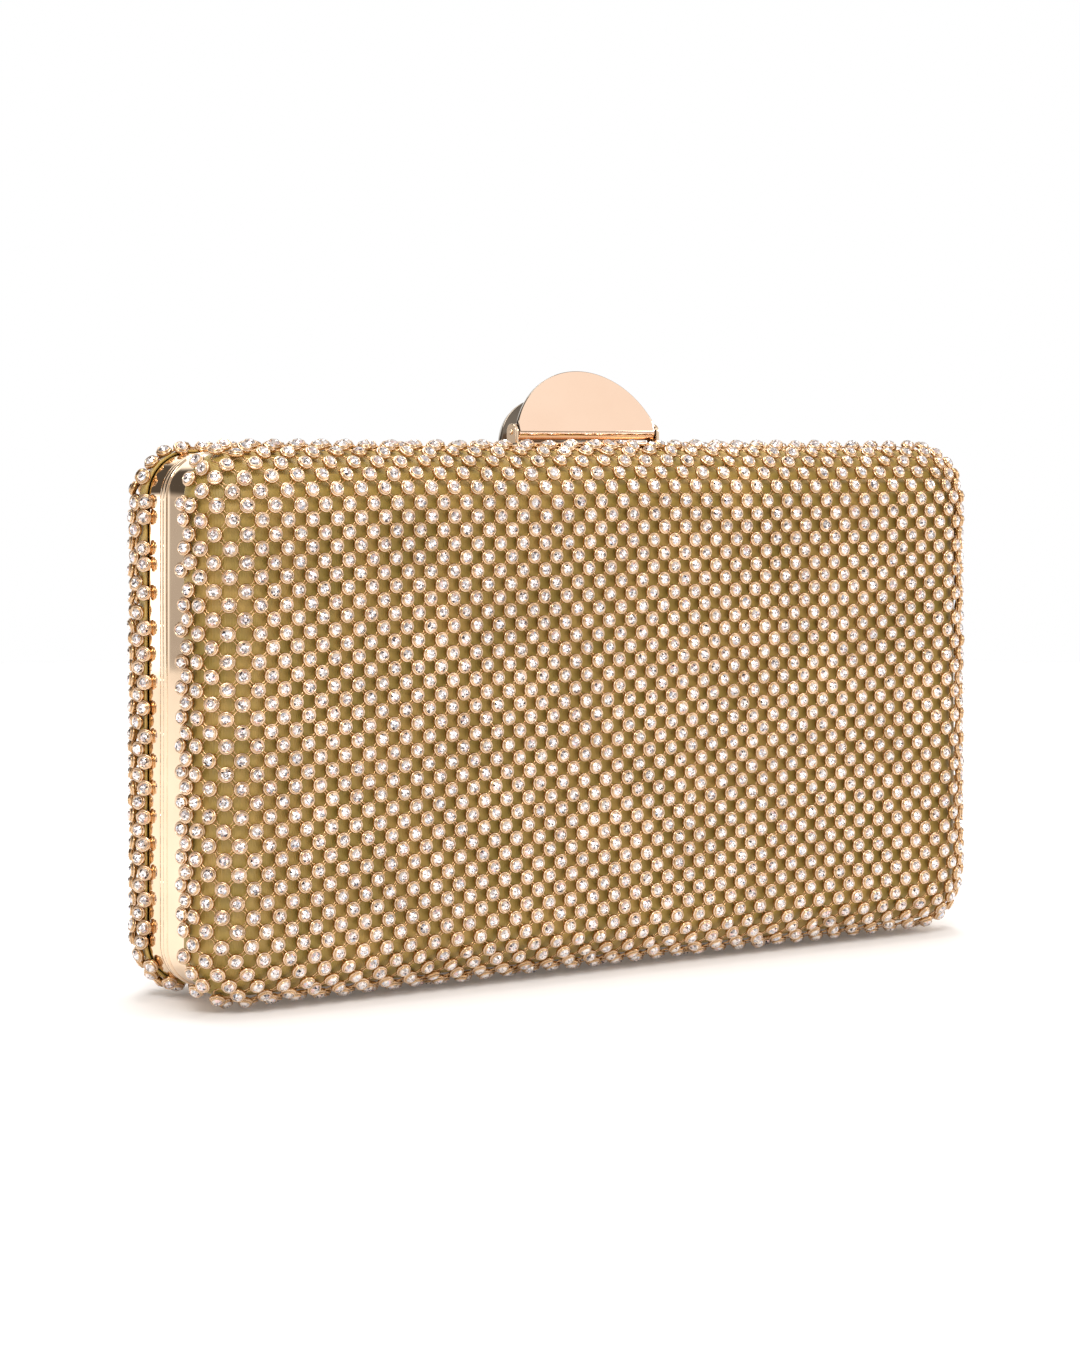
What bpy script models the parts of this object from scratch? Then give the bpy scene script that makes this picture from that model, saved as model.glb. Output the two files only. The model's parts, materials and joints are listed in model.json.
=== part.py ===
"""Evening bag: a hard box clutch of two hinged half shells under rhinestone mesh, with a press clasp on top.

Metres, +Z up, front towards -Y. The origin is the middle of the bag's footprint, where it stands.
Each half is a nest of pans, from the outside in: stone mesh, satin cover, moulded shell, lining.
The pans open towards the seam, where a gold-plated frame holds the rim of each shell.
"""

import math

import bmesh
import bpy
from mathutils import Matrix, Vector

MM = 0.001

# The bag's outline, outside the stone mesh
HALF_WIDTH = 102.6 * MM
HEIGHT = 115.5 * MM
CORNER_RADIUS = 12.5 * MM
EDGE_RADIUS = 13.5 * MM
FRONT_DEPTH = 24.8 * MM
BACK_DEPTH = 20.8 * MM
SEAM_Y = (FRONT_DEPTH - BACK_DEPTH) / 2
SEAM_GAP = 0.15 * MM
GAP = 0.3 * MM

# Layers of a half: distance in from the outline, and thickness
MESH_INSET = 0.0
MESH_THICKNESS = 2.3 * MM
COVER_INSET = MESH_THICKNESS + GAP
COVER_THICKNESS = 1.4 * MM
FRAME_INNER = COVER_INSET + COVER_THICKNESS
SHELL_INSET = FRAME_INNER + GAP
SHELL_THICKNESS = 1.5 * MM
LINING_INSET = SHELL_INSET + SHELL_THICKNESS + GAP
LINING_THICKNESS = 0.6 * MM

# Frames, measured from the seam
FRONT_RIM = 10.6 * MM
BACK_RIM = 6.6 * MM
FRONT_BEAD_INSET = 3.1 * MM
BACK_BEAD_INSET = 3.3 * MM
BEAD_STEP = 0.25 * MM
BEAD_WIDTH = 1.6 * MM
LIP_INSET = 4.8 * MM
LIP_WIDTH = 1.35 * MM
CHAMFER = 0.35 * MM

# Case hinge, under the bottom of the frames
HINGE_Z = 2.0 * MM
KNUCKLE_RADIUS = 1.0 * MM
HINGE_PIN_RADIUS = 0.5 * MM
HINGE_BORE_RADIUS = 0.6 * MM
HINGE_X = {"left": -60.0 * MM, "right": 60.0 * MM}
HINGE_HALF_LENGTH = 12.0 * MM
MIDDLE_KNUCKLE = 3.9 * MM
LEAF_LENGTH = 6.3 * MM
LEAF_LOW = 1.95 * MM
LEAF_THICKNESS = 0.9 * MM
RIVET_DISTANCE = 4.1 * MM
RIVET_OFFSET = 8.0 * MM
RIVET_RADIUS = 0.6 * MM
RIVET_HOLE_RADIUS = 0.75 * MM

# Clasp, on top of the frames
AXIS_DISTANCE = 6.5 * MM
AXIS_Z = 116.7 * MM
BARREL_RADIUS = 1.8 * MM
BARREL_HALF_LENGTH = 18.0 * MM
CLASP_HALF_LENGTH = 19.1 * MM
CLASP_PIN_RADIUS = 0.6 * MM
CLASP_BORE_RADIUS = 0.7 * MM
SPRING_ROOM_RADIUS = 1.35 * MM
SPRING_ROOM_HALF = 5.5 * MM
PLATE_RADIUS = 19.6 * MM
PLATE_CENTRE_BELOW_AXIS = 5.99 * MM
PLATE_FOOT = 0.55 * MM
PLATE_THICKNESS = 1.0 * MM
PLATE_LEAN = math.radians(18.0)
PLATE_IN_FRONT = 1.3 * MM
LUG_RADIUS = 16.2 * MM
LUG_CENTRE_BELOW_FOOT = 2.5 * MM
LUG_LEAN = math.radians(30.0)
LUG_DISTANCE = 2.65 * MM
LUG_THICKNESS = 1.5 * MM
LUG_FOOT_THICKNESS = 2.0 * MM
LUG_FOOT_NEAR = 1.2 * MM
CLASP_FOOT_NEAR = 4.4 * MM
CLASP_FOOT_FAR = 9.6 * MM
CLASP_FOOT_THICKNESS = 2.0 * MM
CLASP_SCREW_X = 11.0 * MM
CLASP_SCREW_REACH = 1.5 * MM
LUG_SCREW_DISTANCE = 4.4 * MM
LUG_SCREW_REACH = 1.5 * MM
SCREW_RADIUS = 0.8 * MM
SCREW_HOLE_RADIUS = 0.95 * MM
SCREW_HEAD_RADIUS = 1.5 * MM
SCREW_HEAD_HEIGHT = 1.0 * MM
SCREW_SEAT = 0.1 * MM
NOTCH_HALF_WIDTH = 15.0 * MM
NOTCH_FLOOR_Z = 106.0 * MM
HOOK_HALF_WIDTH = 4.0 * MM
HOOK_STRIP = 0.8 * MM
HOOK_FRONT = -7.0 * MM
HOOK_ARM_LOW = 107.9 * MM
HOOK_BARB_BACK = 4.0 * MM
HOOK_BARB_TOP = 109.6 * MM
HOOK_SLOT_NEAR = 5.4 * MM
HOOK_SLOT_FAR = 8.6 * MM
KEEPER_THICKNESS = 0.8 * MM
KEEPER_EDGE = 0.8 * MM
KEEPER_SLOT = (2.8 * MM, 4.6 * MM)

# Slip pocket
POCKET_HALF_WIDTH = 62.0 * MM
POCKET_LOW = 14.0 * MM
POCKET_HIGH = 76.0 * MM
POCKET_THICKNESS = 0.9 * MM
POCKET_CORNER = 5.0 * MM

HALVES = {
    "front": {"side": -1, "depth": FRONT_DEPTH, "rim": FRONT_RIM, "bead": FRONT_BEAD_INSET},
    "back": {"side": 1, "depth": BACK_DEPTH, "rim": BACK_RIM, "bead": BACK_BEAD_INSET},
}
CORNER_STEPS = 5
EDGE_STEPS = 5
ROUND_STEPS = 12
PLATE_STEPS = 24

# Colour, metallic and roughness of each finish
FINISHES = {
    "gold_plate": ((0.91, 0.76, 0.56), 1.0, 0.12),
    "rose_gold_plate": ((0.98, 0.76, 0.60), 1.0, 0.08),
    "rhinestone_mesh": ((0.90, 0.76, 0.60), 0.6, 0.25),
    "olive_satin": ((0.36, 0.29, 0.10), 0.0, 0.50),
    "moulded_board": ((0.20, 0.18, 0.15), 0.0, 0.80),
    "champagne_lining": ((0.63, 0.52, 0.33), 0.0, 0.65),
    "spring_steel": ((0.60, 0.58, 0.55), 1.0, 0.30),
}


def clear_scene():
    for obj in list(bpy.data.objects):
        bpy.data.objects.remove(obj, do_unlink=True)


def new_collection(name):
    collection = bpy.data.collections.new(name)
    bpy.context.scene.collection.children.link(collection)
    return collection


def finish(name):
    """The material of this finish, made when it is first asked for."""
    material = bpy.data.materials.get(name)
    if material is None:
        colour, metallic, roughness = FINISHES[name]
        material = bpy.data.materials.new(name)
        material.use_nodes = True
        shader = material.node_tree.nodes["Principled BSDF"]
        shader.inputs["Base Color"].default_value = (*colour, 1.0)
        shader.inputs["Metallic"].default_value = metallic
        shader.inputs["Roughness"].default_value = roughness
    return material


def place(name, mesh, finish_name):
    """A mesh as one of the bag's pieces."""
    obj = bpy.data.objects.new(name, mesh)
    mesh.materials.append(finish(finish_name))
    PIECES.objects.link(obj)
    return obj


def mesh_from(bm, name):
    mesh = bpy.data.meshes.new(name)
    bm.to_mesh(mesh)
    bm.free()
    return mesh


def box_mesh(name, low, high):
    """A box between two corners."""
    bm = bmesh.new()
    bmesh.ops.create_cube(bm, size=1.0)
    for vertex in bm.verts:
        vertex.co = [(a + b) / 2 + t * (b - a) for a, b, t in zip(low, high, vertex.co)]
    return mesh_from(bm, name)


def cylinder_mesh(name, centre, radius, length, axis):
    """A round bar along X or Z."""
    bm = bmesh.new()
    bmesh.ops.create_cone(
        bm, cap_ends=True, segments=ROUND_STEPS, radius1=radius, radius2=radius, depth=length
    )
    turn = Matrix.Rotation(math.pi / 2, 4, "Y") if axis == "X" else Matrix.Identity(4)
    bm.transform(Matrix.Translation(centre) @ turn)
    return mesh_from(bm, name)


def cutter(mesh):
    obj = bpy.data.objects.new(mesh.name, mesh)
    obj.hide_render = True
    obj.display_type = "WIRE"
    CUTTERS.objects.link(obj)
    return obj


def combine(obj, mesh, operation):
    """Joins a shape to a piece, or cuts the shape out of it."""
    modifier = obj.modifiers.new(mesh.name, "BOOLEAN")
    modifier.operation = operation
    modifier.solver = "EXACT"
    modifier.object = cutter(mesh)


def flat_plate(name, outline, thickness, rotation=(0, 0, 0), location=(0, 0, 0)):
    """A mesh cut from sheet: an outline in the local XY plane, thickened evenly about it."""
    curve = bpy.data.curves.new(name, "CURVE")
    curve.dimensions = "2D"
    curve.fill_mode = "BOTH"
    curve.extrude = thickness / 2
    spline = curve.splines.new("POLY")
    spline.points.add(len(outline) - 1)
    for point, (x, y) in zip(spline.points, outline):
        point.co = (x, y, 0, 1)
    spline.use_cyclic_u = True
    obj = bpy.data.objects.new(name, curve)
    CUTTERS.objects.link(obj)
    obj.rotation_euler = rotation
    obj.location = location
    bpy.context.view_layer.update()
    evaluated = obj.evaluated_get(bpy.context.evaluated_depsgraph_get())
    mesh = bpy.data.meshes.new_from_object(evaluated)
    mesh.transform(obj.matrix_world)
    bpy.data.objects.remove(obj)
    bpy.data.curves.remove(curve)
    bm = bmesh.new()
    bm.from_mesh(mesh)
    bmesh.ops.remove_doubles(bm, verts=bm.verts, dist=1e-6)
    bmesh.ops.dissolve_limit(bm, angle_limit=math.radians(0.1), verts=bm.verts, edges=bm.edges)
    bm.to_mesh(mesh)
    bm.free()
    mesh.name = name
    return mesh


def turned_piece(name, profile, finish_name, rotation=(0, 0, 0), location=(0, 0, 0), closed=False):
    """A profile of (radius, height) points, outer side top to bottom, turned about local Z."""
    bm = bmesh.new()
    points = [bm.verts.new((radius, 0, height)) for radius, height in profile]
    for a, b in zip(points, points[1:]):
        bm.edges.new((a, b))
    if closed:
        bm.edges.new((points[-1], points[0]))
    obj = place(name, mesh_from(bm, name), finish_name)
    screw = obj.modifiers.new("Turn", "SCREW")
    screw.steps = ROUND_STEPS
    screw.render_steps = ROUND_STEPS
    screw.use_merge_vertices = True
    screw.merge_threshold = 1e-6
    screw.use_smooth_shade = True
    obj.rotation_euler = rotation
    obj.location = location
    return obj


def arc(centre, radius, start, end, steps):
    """Points along an arc, angles in radians from local X."""
    angles = [start + (end - start) * i / steps for i in range(steps + 1)]
    return [(centre[0] + radius * math.cos(a), centre[1] + radius * math.sin(a)) for a in angles]


def outline_at(inset, shrink):
    """The bag's rounded outline in X and Z, at this inset, drawn in by shrink with its corners kept."""
    radius = CORNER_RADIUS - inset
    half_width = HALF_WIDTH - inset - shrink
    low = inset + shrink
    high = HEIGHT - inset - shrink
    points = []
    for quarter, (sx, z) in enumerate(((1, high), (-1, high), (-1, low), (1, low))):
        centre = (sx * (half_width - radius), z - radius if z == high else z + radius)
        start = quarter * math.pi / 2
        points += arc(centre, radius, start, start + math.pi / 2, CORNER_STEPS)
    return points


def loft(name, loops, ends):
    """A skin over equal loops of points: ends are joined to each other, or the last is capped."""
    bm = bmesh.new()
    rows = [[bm.verts.new(point) for point in loop] for loop in loops]
    pairs = list(zip(rows, rows[1:]))
    if ends == "joined":
        pairs.append((rows[-1], rows[0]))
    for row, following in pairs:
        for i in range(len(row)):
            j = (i + 1) % len(row)
            bm.faces.new((row[i], row[j], following[j], following[i]))
    if ends == "capped":
        bm.faces.new(rows[-1])
    bmesh.ops.recalc_face_normals(bm, faces=bm.faces)
    return bm


def from_seam(half, distance):
    return SEAM_Y + HALVES[half]["side"] * distance


def pan(half, layer, inset, thickness, rim, finish_name):
    """One layer of a half: a tray with a rounded edge, open towards the seam."""
    depth = HALVES[half]["depth"] - inset
    edge = EDGE_RADIUS - inset
    stations = [(0.0, rim)]
    for i in range(EDGE_STEPS + 1):
        turn = math.pi / 2 * i / EDGE_STEPS
        stations.append((edge * (1 - math.cos(turn)), depth - edge + edge * math.sin(turn)))
    loops = [
        [(x, from_seam(half, distance), z) for x, z in outline_at(inset, shrink)]
        for shrink, distance in stations
    ]
    bm = loft(f"{half}_{layer}", loops, "capped")
    bm.faces.ensure_lookup_table()
    if bm.faces[-1].normal.y * HALVES[half]["side"] < 0:
        bmesh.ops.reverse_faces(bm, faces=bm.faces)
    obj = place(f"{half}_{layer}", mesh_from(bm, f"{half}_{layer}"), finish_name)
    wall = obj.modifiers.new("Wall", "SOLIDIFY")
    wall.thickness = thickness
    wall.offset = -1
    wall.use_even_offset = True
    obj.data.shade_smooth()
    obj.data.set_sharp_from_angle(angle=math.radians(40))
    return obj


def frame_band(half):
    """The plated band around the mouth of a half: bead at the seam, flat band, and a lip inside."""
    bead = HALVES[half]["bead"]
    band = bead + BEAD_STEP
    rim = HALVES[half]["rim"]
    section = (
        (bead + CHAMFER, SEAM_GAP),
        (bead, SEAM_GAP + CHAMFER),
        (bead, BEAD_WIDTH - BEAD_STEP),
        (band, BEAD_WIDTH),
        (band, rim - CHAMFER),
        (band + CHAMFER, rim),
        (FRAME_INNER, rim),
        (FRAME_INNER, LIP_WIDTH),
        (LIP_INSET, LIP_WIDTH),
        (LIP_INSET, SEAM_GAP),
    )
    loops = [
        [(x, from_seam(half, distance), z) for x, z in outline_at(inset, 0.0)]
        for inset, distance in section
    ]
    bm = loft(f"{half}_frame", loops, "joined")
    obj = place(f"{half}_frame", mesh_from(bm, f"{half}_frame"), "gold_plate")
    obj.data.shade_smooth()
    obj.data.set_sharp_from_angle(angle=math.radians(40))
    return obj


def clasp_notch(half, layer):
    """Room under the clasp, cut out of the top wall of a layer."""
    distance = HALVES[half]["rim"] - GAP
    low_y, high_y = sorted((SEAM_Y, from_seam(half, distance)))
    low = (-NOTCH_HALF_WIDTH, low_y, NOTCH_FLOOR_Z)
    high = (NOTCH_HALF_WIDTH, high_y, HEIGHT)
    return box_mesh(f"{half}_{layer}_notch", low, high)


def hinge_leaf(half, place_name):
    """A leaf flat under the frame, with its knuckles on the hinge axis."""
    side = HALVES[half]["side"]
    centre_x = HINGE_X[place_name]
    name = f"hinge_{place_name}_{half}_leaf"
    inner = MIDDLE_KNUCKLE + GAP
    outer = HINGE_HALF_LENGTH
    root = KNUCKLE_RADIUS + GAP
    far = LEAF_LENGTH
    if half == "front":
        knuckles = ((-outer, -inner), (inner, outer))
        tab_start, tab_end = inner + GAP, outer - GAP
        outline = [(-tab_end, 0), (-tab_start, 0), (-tab_start, root)]
        outline += [(tab_start, root), (tab_start, 0), (tab_end, 0)]
    else:
        knuckles = ((-MIDDLE_KNUCKLE, MIDDLE_KNUCKLE),)
        tab_end = MIDDLE_KNUCKLE - GAP
        outline = [(-outer, root + GAP), (-tab_end, root), (-tab_end, 0)]
        outline += [(tab_end, 0), (tab_end, root), (outer, root + GAP)]
    outline += [(outer - GAP, far), (GAP - outer, far)]
    outline = [(x, side * distance) for x, distance in outline]
    height = LEAF_LOW + LEAF_THICKNESS / 2
    mesh = flat_plate(name, outline, LEAF_THICKNESS, location=(centre_x, SEAM_Y, height))
    leaf = place(name, mesh, "gold_plate")
    for i, (start, end) in enumerate(knuckles):
        centre = (centre_x + (start + end) / 2, SEAM_Y, HINGE_Z)
        combine(leaf, cylinder_mesh(f"{name}_knuckle_{i}", centre, KNUCKLE_RADIUS, end - start, "X"), "UNION")
    bore = cylinder_mesh(
        f"{name}_bore", (centre_x, SEAM_Y, HINGE_Z), HINGE_BORE_RADIUS, 4 * HINGE_HALF_LENGTH, "X"
    )
    combine(leaf, bore, "DIFFERENCE")
    return leaf


def hinge_pin(place_name):
    """A plain pin through a hinge's three knuckles, with rounded ends."""
    reach = HINGE_HALF_LENGTH + GAP
    profile = [(0, reach), (HINGE_PIN_RADIUS, reach - GAP), (HINGE_PIN_RADIUS, GAP - reach), (0, -reach)]
    turn = (0, math.pi / 2, 0)
    spot = (HINGE_X[place_name], SEAM_Y, HINGE_Z)
    return turned_piece(f"hinge_{place_name}_pin", profile, "gold_plate", turn, spot)


def rivet(half, place_name, number, frame, leaf):
    """A domed rivet that holds a leaf to its frame, and its hole through both."""
    x = HINGE_X[place_name] + (RIVET_OFFSET if number else -RIVET_OFFSET)
    y = from_seam(half, RIVET_DISTANCE)
    name = f"hinge_{place_name}_{half}_rivet_{number + 1}"
    head_top = LEAF_LOW - 0.1 * MM
    head_low = head_top - 0.5 * MM
    head_radius = 2 * RIVET_RADIUS
    tail = FRAME_INNER - 0.1 * MM
    profile = [(0, tail), (RIVET_RADIUS, tail), (RIVET_RADIUS, head_top), (head_radius, head_top)]
    profile += [(head_radius * 0.6, head_low), (0, head_low - 0.1 * MM)]
    for piece in (frame, leaf):
        centre = (x, y, (LEAF_LOW + FRAME_INNER) / 2)
        hole = cylinder_mesh(f"{name}_hole_{piece.name}", centre, RIVET_HOLE_RADIUS, FRAME_INNER, "Z")
        combine(piece, hole, "DIFFERENCE")
    return turned_piece(name, profile, "gold_plate", location=(x, y, 0))


def screw_from_inside(name, x, y, head_top, tip, pieces):
    """A pan-head screw driven up from inside the case, and its hole through the pieces it clamps."""
    head_low = head_top - SCREW_HEAD_HEIGHT
    profile = [(0, tip), (SCREW_RADIUS, tip - SCREW_RADIUS / 2), (SCREW_RADIUS, head_top)]
    profile += [(SCREW_HEAD_RADIUS, head_top), (SCREW_HEAD_RADIUS, head_low + 0.3 * MM)]
    profile += [(SCREW_HEAD_RADIUS * 0.7, head_low), (0, head_low)]
    for piece in pieces:
        span = tip + GAP - head_top
        centre = (x, y, head_top + span / 2)
        hole = cylinder_mesh(f"{name}_hole_{piece.name}", centre, SCREW_HOLE_RADIUS, span, "Z")
        combine(piece, hole, "DIFFERENCE")
    return turned_piece(name, profile, "spring_steel", location=(x, y, 0))


def clasp_base(frame):
    """The foot of the clasp on the front frame, with a knuckle at each end for the pin."""
    low_z = HEIGHT - FRONT_BEAD_INSET
    high_z = low_z + CLASP_FOOT_THICKNESS
    reach = CLASP_HALF_LENGTH + GAP
    low = (-reach, from_seam("front", CLASP_FOOT_FAR), low_z)
    high = (reach, from_seam("front", CLASP_FOOT_NEAR), high_z)
    base = place("clasp_base", box_mesh("clasp_base", low, high), "gold_plate")
    axis_y = from_seam("front", AXIS_DISTANCE)
    side_view = [(BARREL_RADIUS, high_z - AXIS_Z - GAP)]
    side_view += arc((0, 0), BARREL_RADIUS, 0, math.pi, 10)
    side_view += [(-BARREL_RADIUS, high_z - AXIS_Z - GAP)]
    knuckle_width = CLASP_HALF_LENGTH - BARREL_HALF_LENGTH - GAP
    for label, sign in (("left", -1), ("right", 1)):
        spot = (sign * (CLASP_HALF_LENGTH - knuckle_width / 2), axis_y, AXIS_Z)
        turn = (math.pi / 2, 0, math.pi / 2)
        combine(base, flat_plate(f"clasp_knuckle_{label}", side_view, knuckle_width, turn, spot), "UNION")
    bore = cylinder_mesh(
        "clasp_base_bore", (0, axis_y, AXIS_Z), CLASP_BORE_RADIUS, 3 * CLASP_HALF_LENGTH, "X"
    )
    combine(base, bore, "DIFFERENCE")
    slot_low = (-HOOK_HALF_WIDTH - GAP, from_seam("front", HOOK_SLOT_FAR), NOTCH_FLOOR_Z)
    slot_high = (HOOK_HALF_WIDTH + GAP, from_seam("front", HOOK_SLOT_NEAR), AXIS_Z - BARREL_RADIUS)
    for piece in (base, frame):
        combine(piece, box_mesh(f"hook_slot_{piece.name}", slot_low, slot_high), "DIFFERENCE")
    return base


def clasp_lever():
    """The half-disc press plate and its barrel, which turns on the pin."""
    axis = (0, from_seam("front", AXIS_DISTANCE), AXIS_Z)
    end = BARREL_HALF_LENGTH
    section = [(BARREL_RADIUS, end), (BARREL_RADIUS, -end), (CLASP_BORE_RADIUS, -end), (CLASP_BORE_RADIUS, end)]
    lever = turned_piece("clasp_lever", section, "rose_gold_plate", (0, math.pi / 2, 0), axis, closed=True)
    foot = end - GAP
    start = math.acos(foot / PLATE_RADIUS)
    outline = [(-foot, -PLATE_FOOT), (foot, -PLATE_FOOT)]
    outline += arc((0, -PLATE_CENTRE_BELOW_AXIS), PLATE_RADIUS, start, math.pi - start, PLATE_STEPS)
    turn = (math.pi / 2 - PLATE_LEAN, 0, 0)
    forward = Matrix.Rotation(turn[0], 3, "X") @ Vector((0, 0, PLATE_IN_FRONT))
    combine(lever, flat_plate("press_plate", outline, PLATE_THICKNESS, turn, Vector(axis) + forward), "UNION")
    combine(lever, cylinder_mesh("spring_room", axis, SPRING_ROOM_RADIUS, 2 * SPRING_ROOM_HALF, "X"), "DIFFERENCE")
    return lever


def clasp_hook():
    """The catch strip: down through the frame, under the seam, and up in a barb behind the keeper."""
    top = AXIS_Z - BARREL_RADIUS - GAP
    arm_high = HOOK_ARM_LOW + HOOK_STRIP
    barb_front = HOOK_BARB_BACK - HOOK_STRIP
    stem_back = HOOK_FRONT + HOOK_STRIP
    side_view = [(HOOK_FRONT, top), (HOOK_FRONT, HOOK_ARM_LOW), (HOOK_BARB_BACK, HOOK_ARM_LOW)]
    side_view += [(HOOK_BARB_BACK, HOOK_BARB_TOP), (barb_front, HOOK_BARB_TOP), (barb_front, arm_high)]
    side_view += [(stem_back, arm_high), (stem_back, top)]
    turn = (math.pi / 2, 0, math.pi / 2)
    mesh = flat_plate("clasp_hook", side_view, 2 * HOOK_HALF_WIDTH, turn, (0, SEAM_Y, 0))
    return place("clasp_hook", mesh, "spring_steel")


def clasp_pin():
    reach = CLASP_HALF_LENGTH + GAP
    profile = [(0, reach), (CLASP_PIN_RADIUS, reach - GAP), (CLASP_PIN_RADIUS, GAP - reach), (0, -reach)]
    axis = (0, from_seam("front", AXIS_DISTANCE), AXIS_Z)
    return turned_piece("clasp_pin", profile, "gold_plate", (0, math.pi / 2, 0), axis)


def clasp_spring():
    """A torsion coil around the pin, inside the barrel."""
    turns, points_per_turn, pitch = 5, 8, 1.2 * MM
    coil_radius = (CLASP_PIN_RADIUS + SPRING_ROOM_RADIUS) / 2
    curve = bpy.data.curves.new("clasp_spring", "CURVE")
    curve.dimensions = "3D"
    curve.bevel_depth = 0.16 * MM
    curve.bevel_resolution = 2
    curve.use_fill_caps = True
    spline = curve.splines.new("POLY")
    count = turns * points_per_turn
    spline.points.add(count)
    for i, point in enumerate(spline.points):
        angle = 2 * math.pi * i / points_per_turn
        along = (i / count - 0.5) * turns * pitch
        point.co = (along, coil_radius * math.cos(angle), coil_radius * math.sin(angle), 1)
    obj = bpy.data.objects.new("clasp_spring", curve)
    curve.materials.append(finish("spring_steel"))
    obj.location = (0, from_seam("front", AXIS_DISTANCE), AXIS_Z)
    PIECES.objects.link(obj)
    return obj


def rear_lug():
    """The fixed half-disc thumb plate on the back frame, leaning back, with a foot along the frame."""
    foot_low = HEIGHT - BACK_BEAD_INSET + 0.1 * MM
    foot_high = foot_low + LUG_FOOT_THICKNESS
    root = LUG_FOOT_THICKNESS / 2
    start = math.asin((root + LUG_CENTRE_BELOW_FOOT) / LUG_RADIUS)
    outline = arc((0, -LUG_CENTRE_BELOW_FOOT), LUG_RADIUS, start, math.pi - start, PLATE_STEPS)
    turn = (math.pi / 2 - LUG_LEAN, 0, 0)
    spot = (0, from_seam("back", LUG_DISTANCE), foot_low)
    lug = place("rear_lug", flat_plate("rear_lug", outline, LUG_THICKNESS, turn, spot), "gold_plate")
    reach = LUG_RADIUS * math.cos(start) - GAP
    low = (-reach, from_seam("back", LUG_FOOT_NEAR), foot_low)
    high = (reach, from_seam("back", BACK_RIM - CHAMFER), foot_high)
    combine(lug, box_mesh("lug_foot", low, high), "UNION")
    return lug


def keeper():
    """The strike plate under the back frame, with the slot that the hook's barb rises into."""
    high_z = HEIGHT - FRAME_INNER - GAP
    low_z = high_z - KEEPER_THICKNESS
    low = (-NOTCH_HALF_WIDTH + KEEPER_EDGE, from_seam("back", LIP_WIDTH + GAP), low_z)
    high = (NOTCH_HALF_WIDTH - KEEPER_EDGE, from_seam("back", BACK_RIM - 2 * GAP), high_z)
    plate = place("keeper", box_mesh("keeper", low, high), "spring_steel")
    slot_near, slot_far = KEEPER_SLOT
    slot_low = (-HOOK_HALF_WIDTH - 2 * GAP, from_seam("back", slot_near), low_z - GAP)
    slot_high = (HOOK_HALF_WIDTH + 2 * GAP, from_seam("back", slot_far), high_z + GAP)
    combine(plate, box_mesh("keeper_slot", slot_low, slot_high), "DIFFERENCE")
    return plate


def slip_pocket():
    """A flat pocket sewn to the back lining, open at its top edge."""
    centre_x, centre_z = POCKET_HALF_WIDTH - POCKET_CORNER, POCKET_LOW + POCKET_CORNER
    outline = [(POCKET_HALF_WIDTH, POCKET_HIGH), (-POCKET_HALF_WIDTH, POCKET_HIGH)]
    outline += arc((-centre_x, centre_z), POCKET_CORNER, math.pi, 1.5 * math.pi, CORNER_STEPS)
    outline += arc((centre_x, centre_z), POCKET_CORNER, -math.pi / 2, 0, CORNER_STEPS)
    face = BACK_DEPTH - LINING_INSET - LINING_THICKNESS
    middle = from_seam("back", face - GAP - POCKET_THICKNESS / 2)
    mesh = flat_plate("slip_pocket", outline, POCKET_THICKNESS, (math.pi / 2, 0, 0), (0, middle, 0))
    return place("slip_pocket", mesh, "champagne_lining")


def pivot(name, location, pieces):
    """An empty on a joint's axis, which carries the pieces that turn about it."""
    empty = bpy.data.objects.new(name, None)
    empty.location = location
    PIECES.objects.link(empty)
    for piece in pieces:
        piece.parent = empty
        piece.matrix_parent_inverse = Matrix.Translation(location).inverted()


def build_half(half):
    """The frame and the four nested layers of one half."""
    rim = HALVES[half]["rim"] + GAP
    inner_rim = LIP_WIDTH + GAP
    frame = frame_band(half)
    mesh = pan(half, "stone_mesh", MESH_INSET, MESH_THICKNESS, rim, "rhinestone_mesh")
    cover = pan(half, "satin_cover", COVER_INSET, COVER_THICKNESS, rim, "olive_satin")
    shell = pan(half, "shell", SHELL_INSET, SHELL_THICKNESS, inner_rim, "moulded_board")
    lining = pan(half, "lining", LINING_INSET, LINING_THICKNESS, inner_rim, "champagne_lining")
    combine(shell, clasp_notch(half, "shell"), "DIFFERENCE")
    combine(lining, clasp_notch(half, "lining"), "DIFFERENCE")
    return frame, [frame, mesh, cover, shell, lining]


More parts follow.
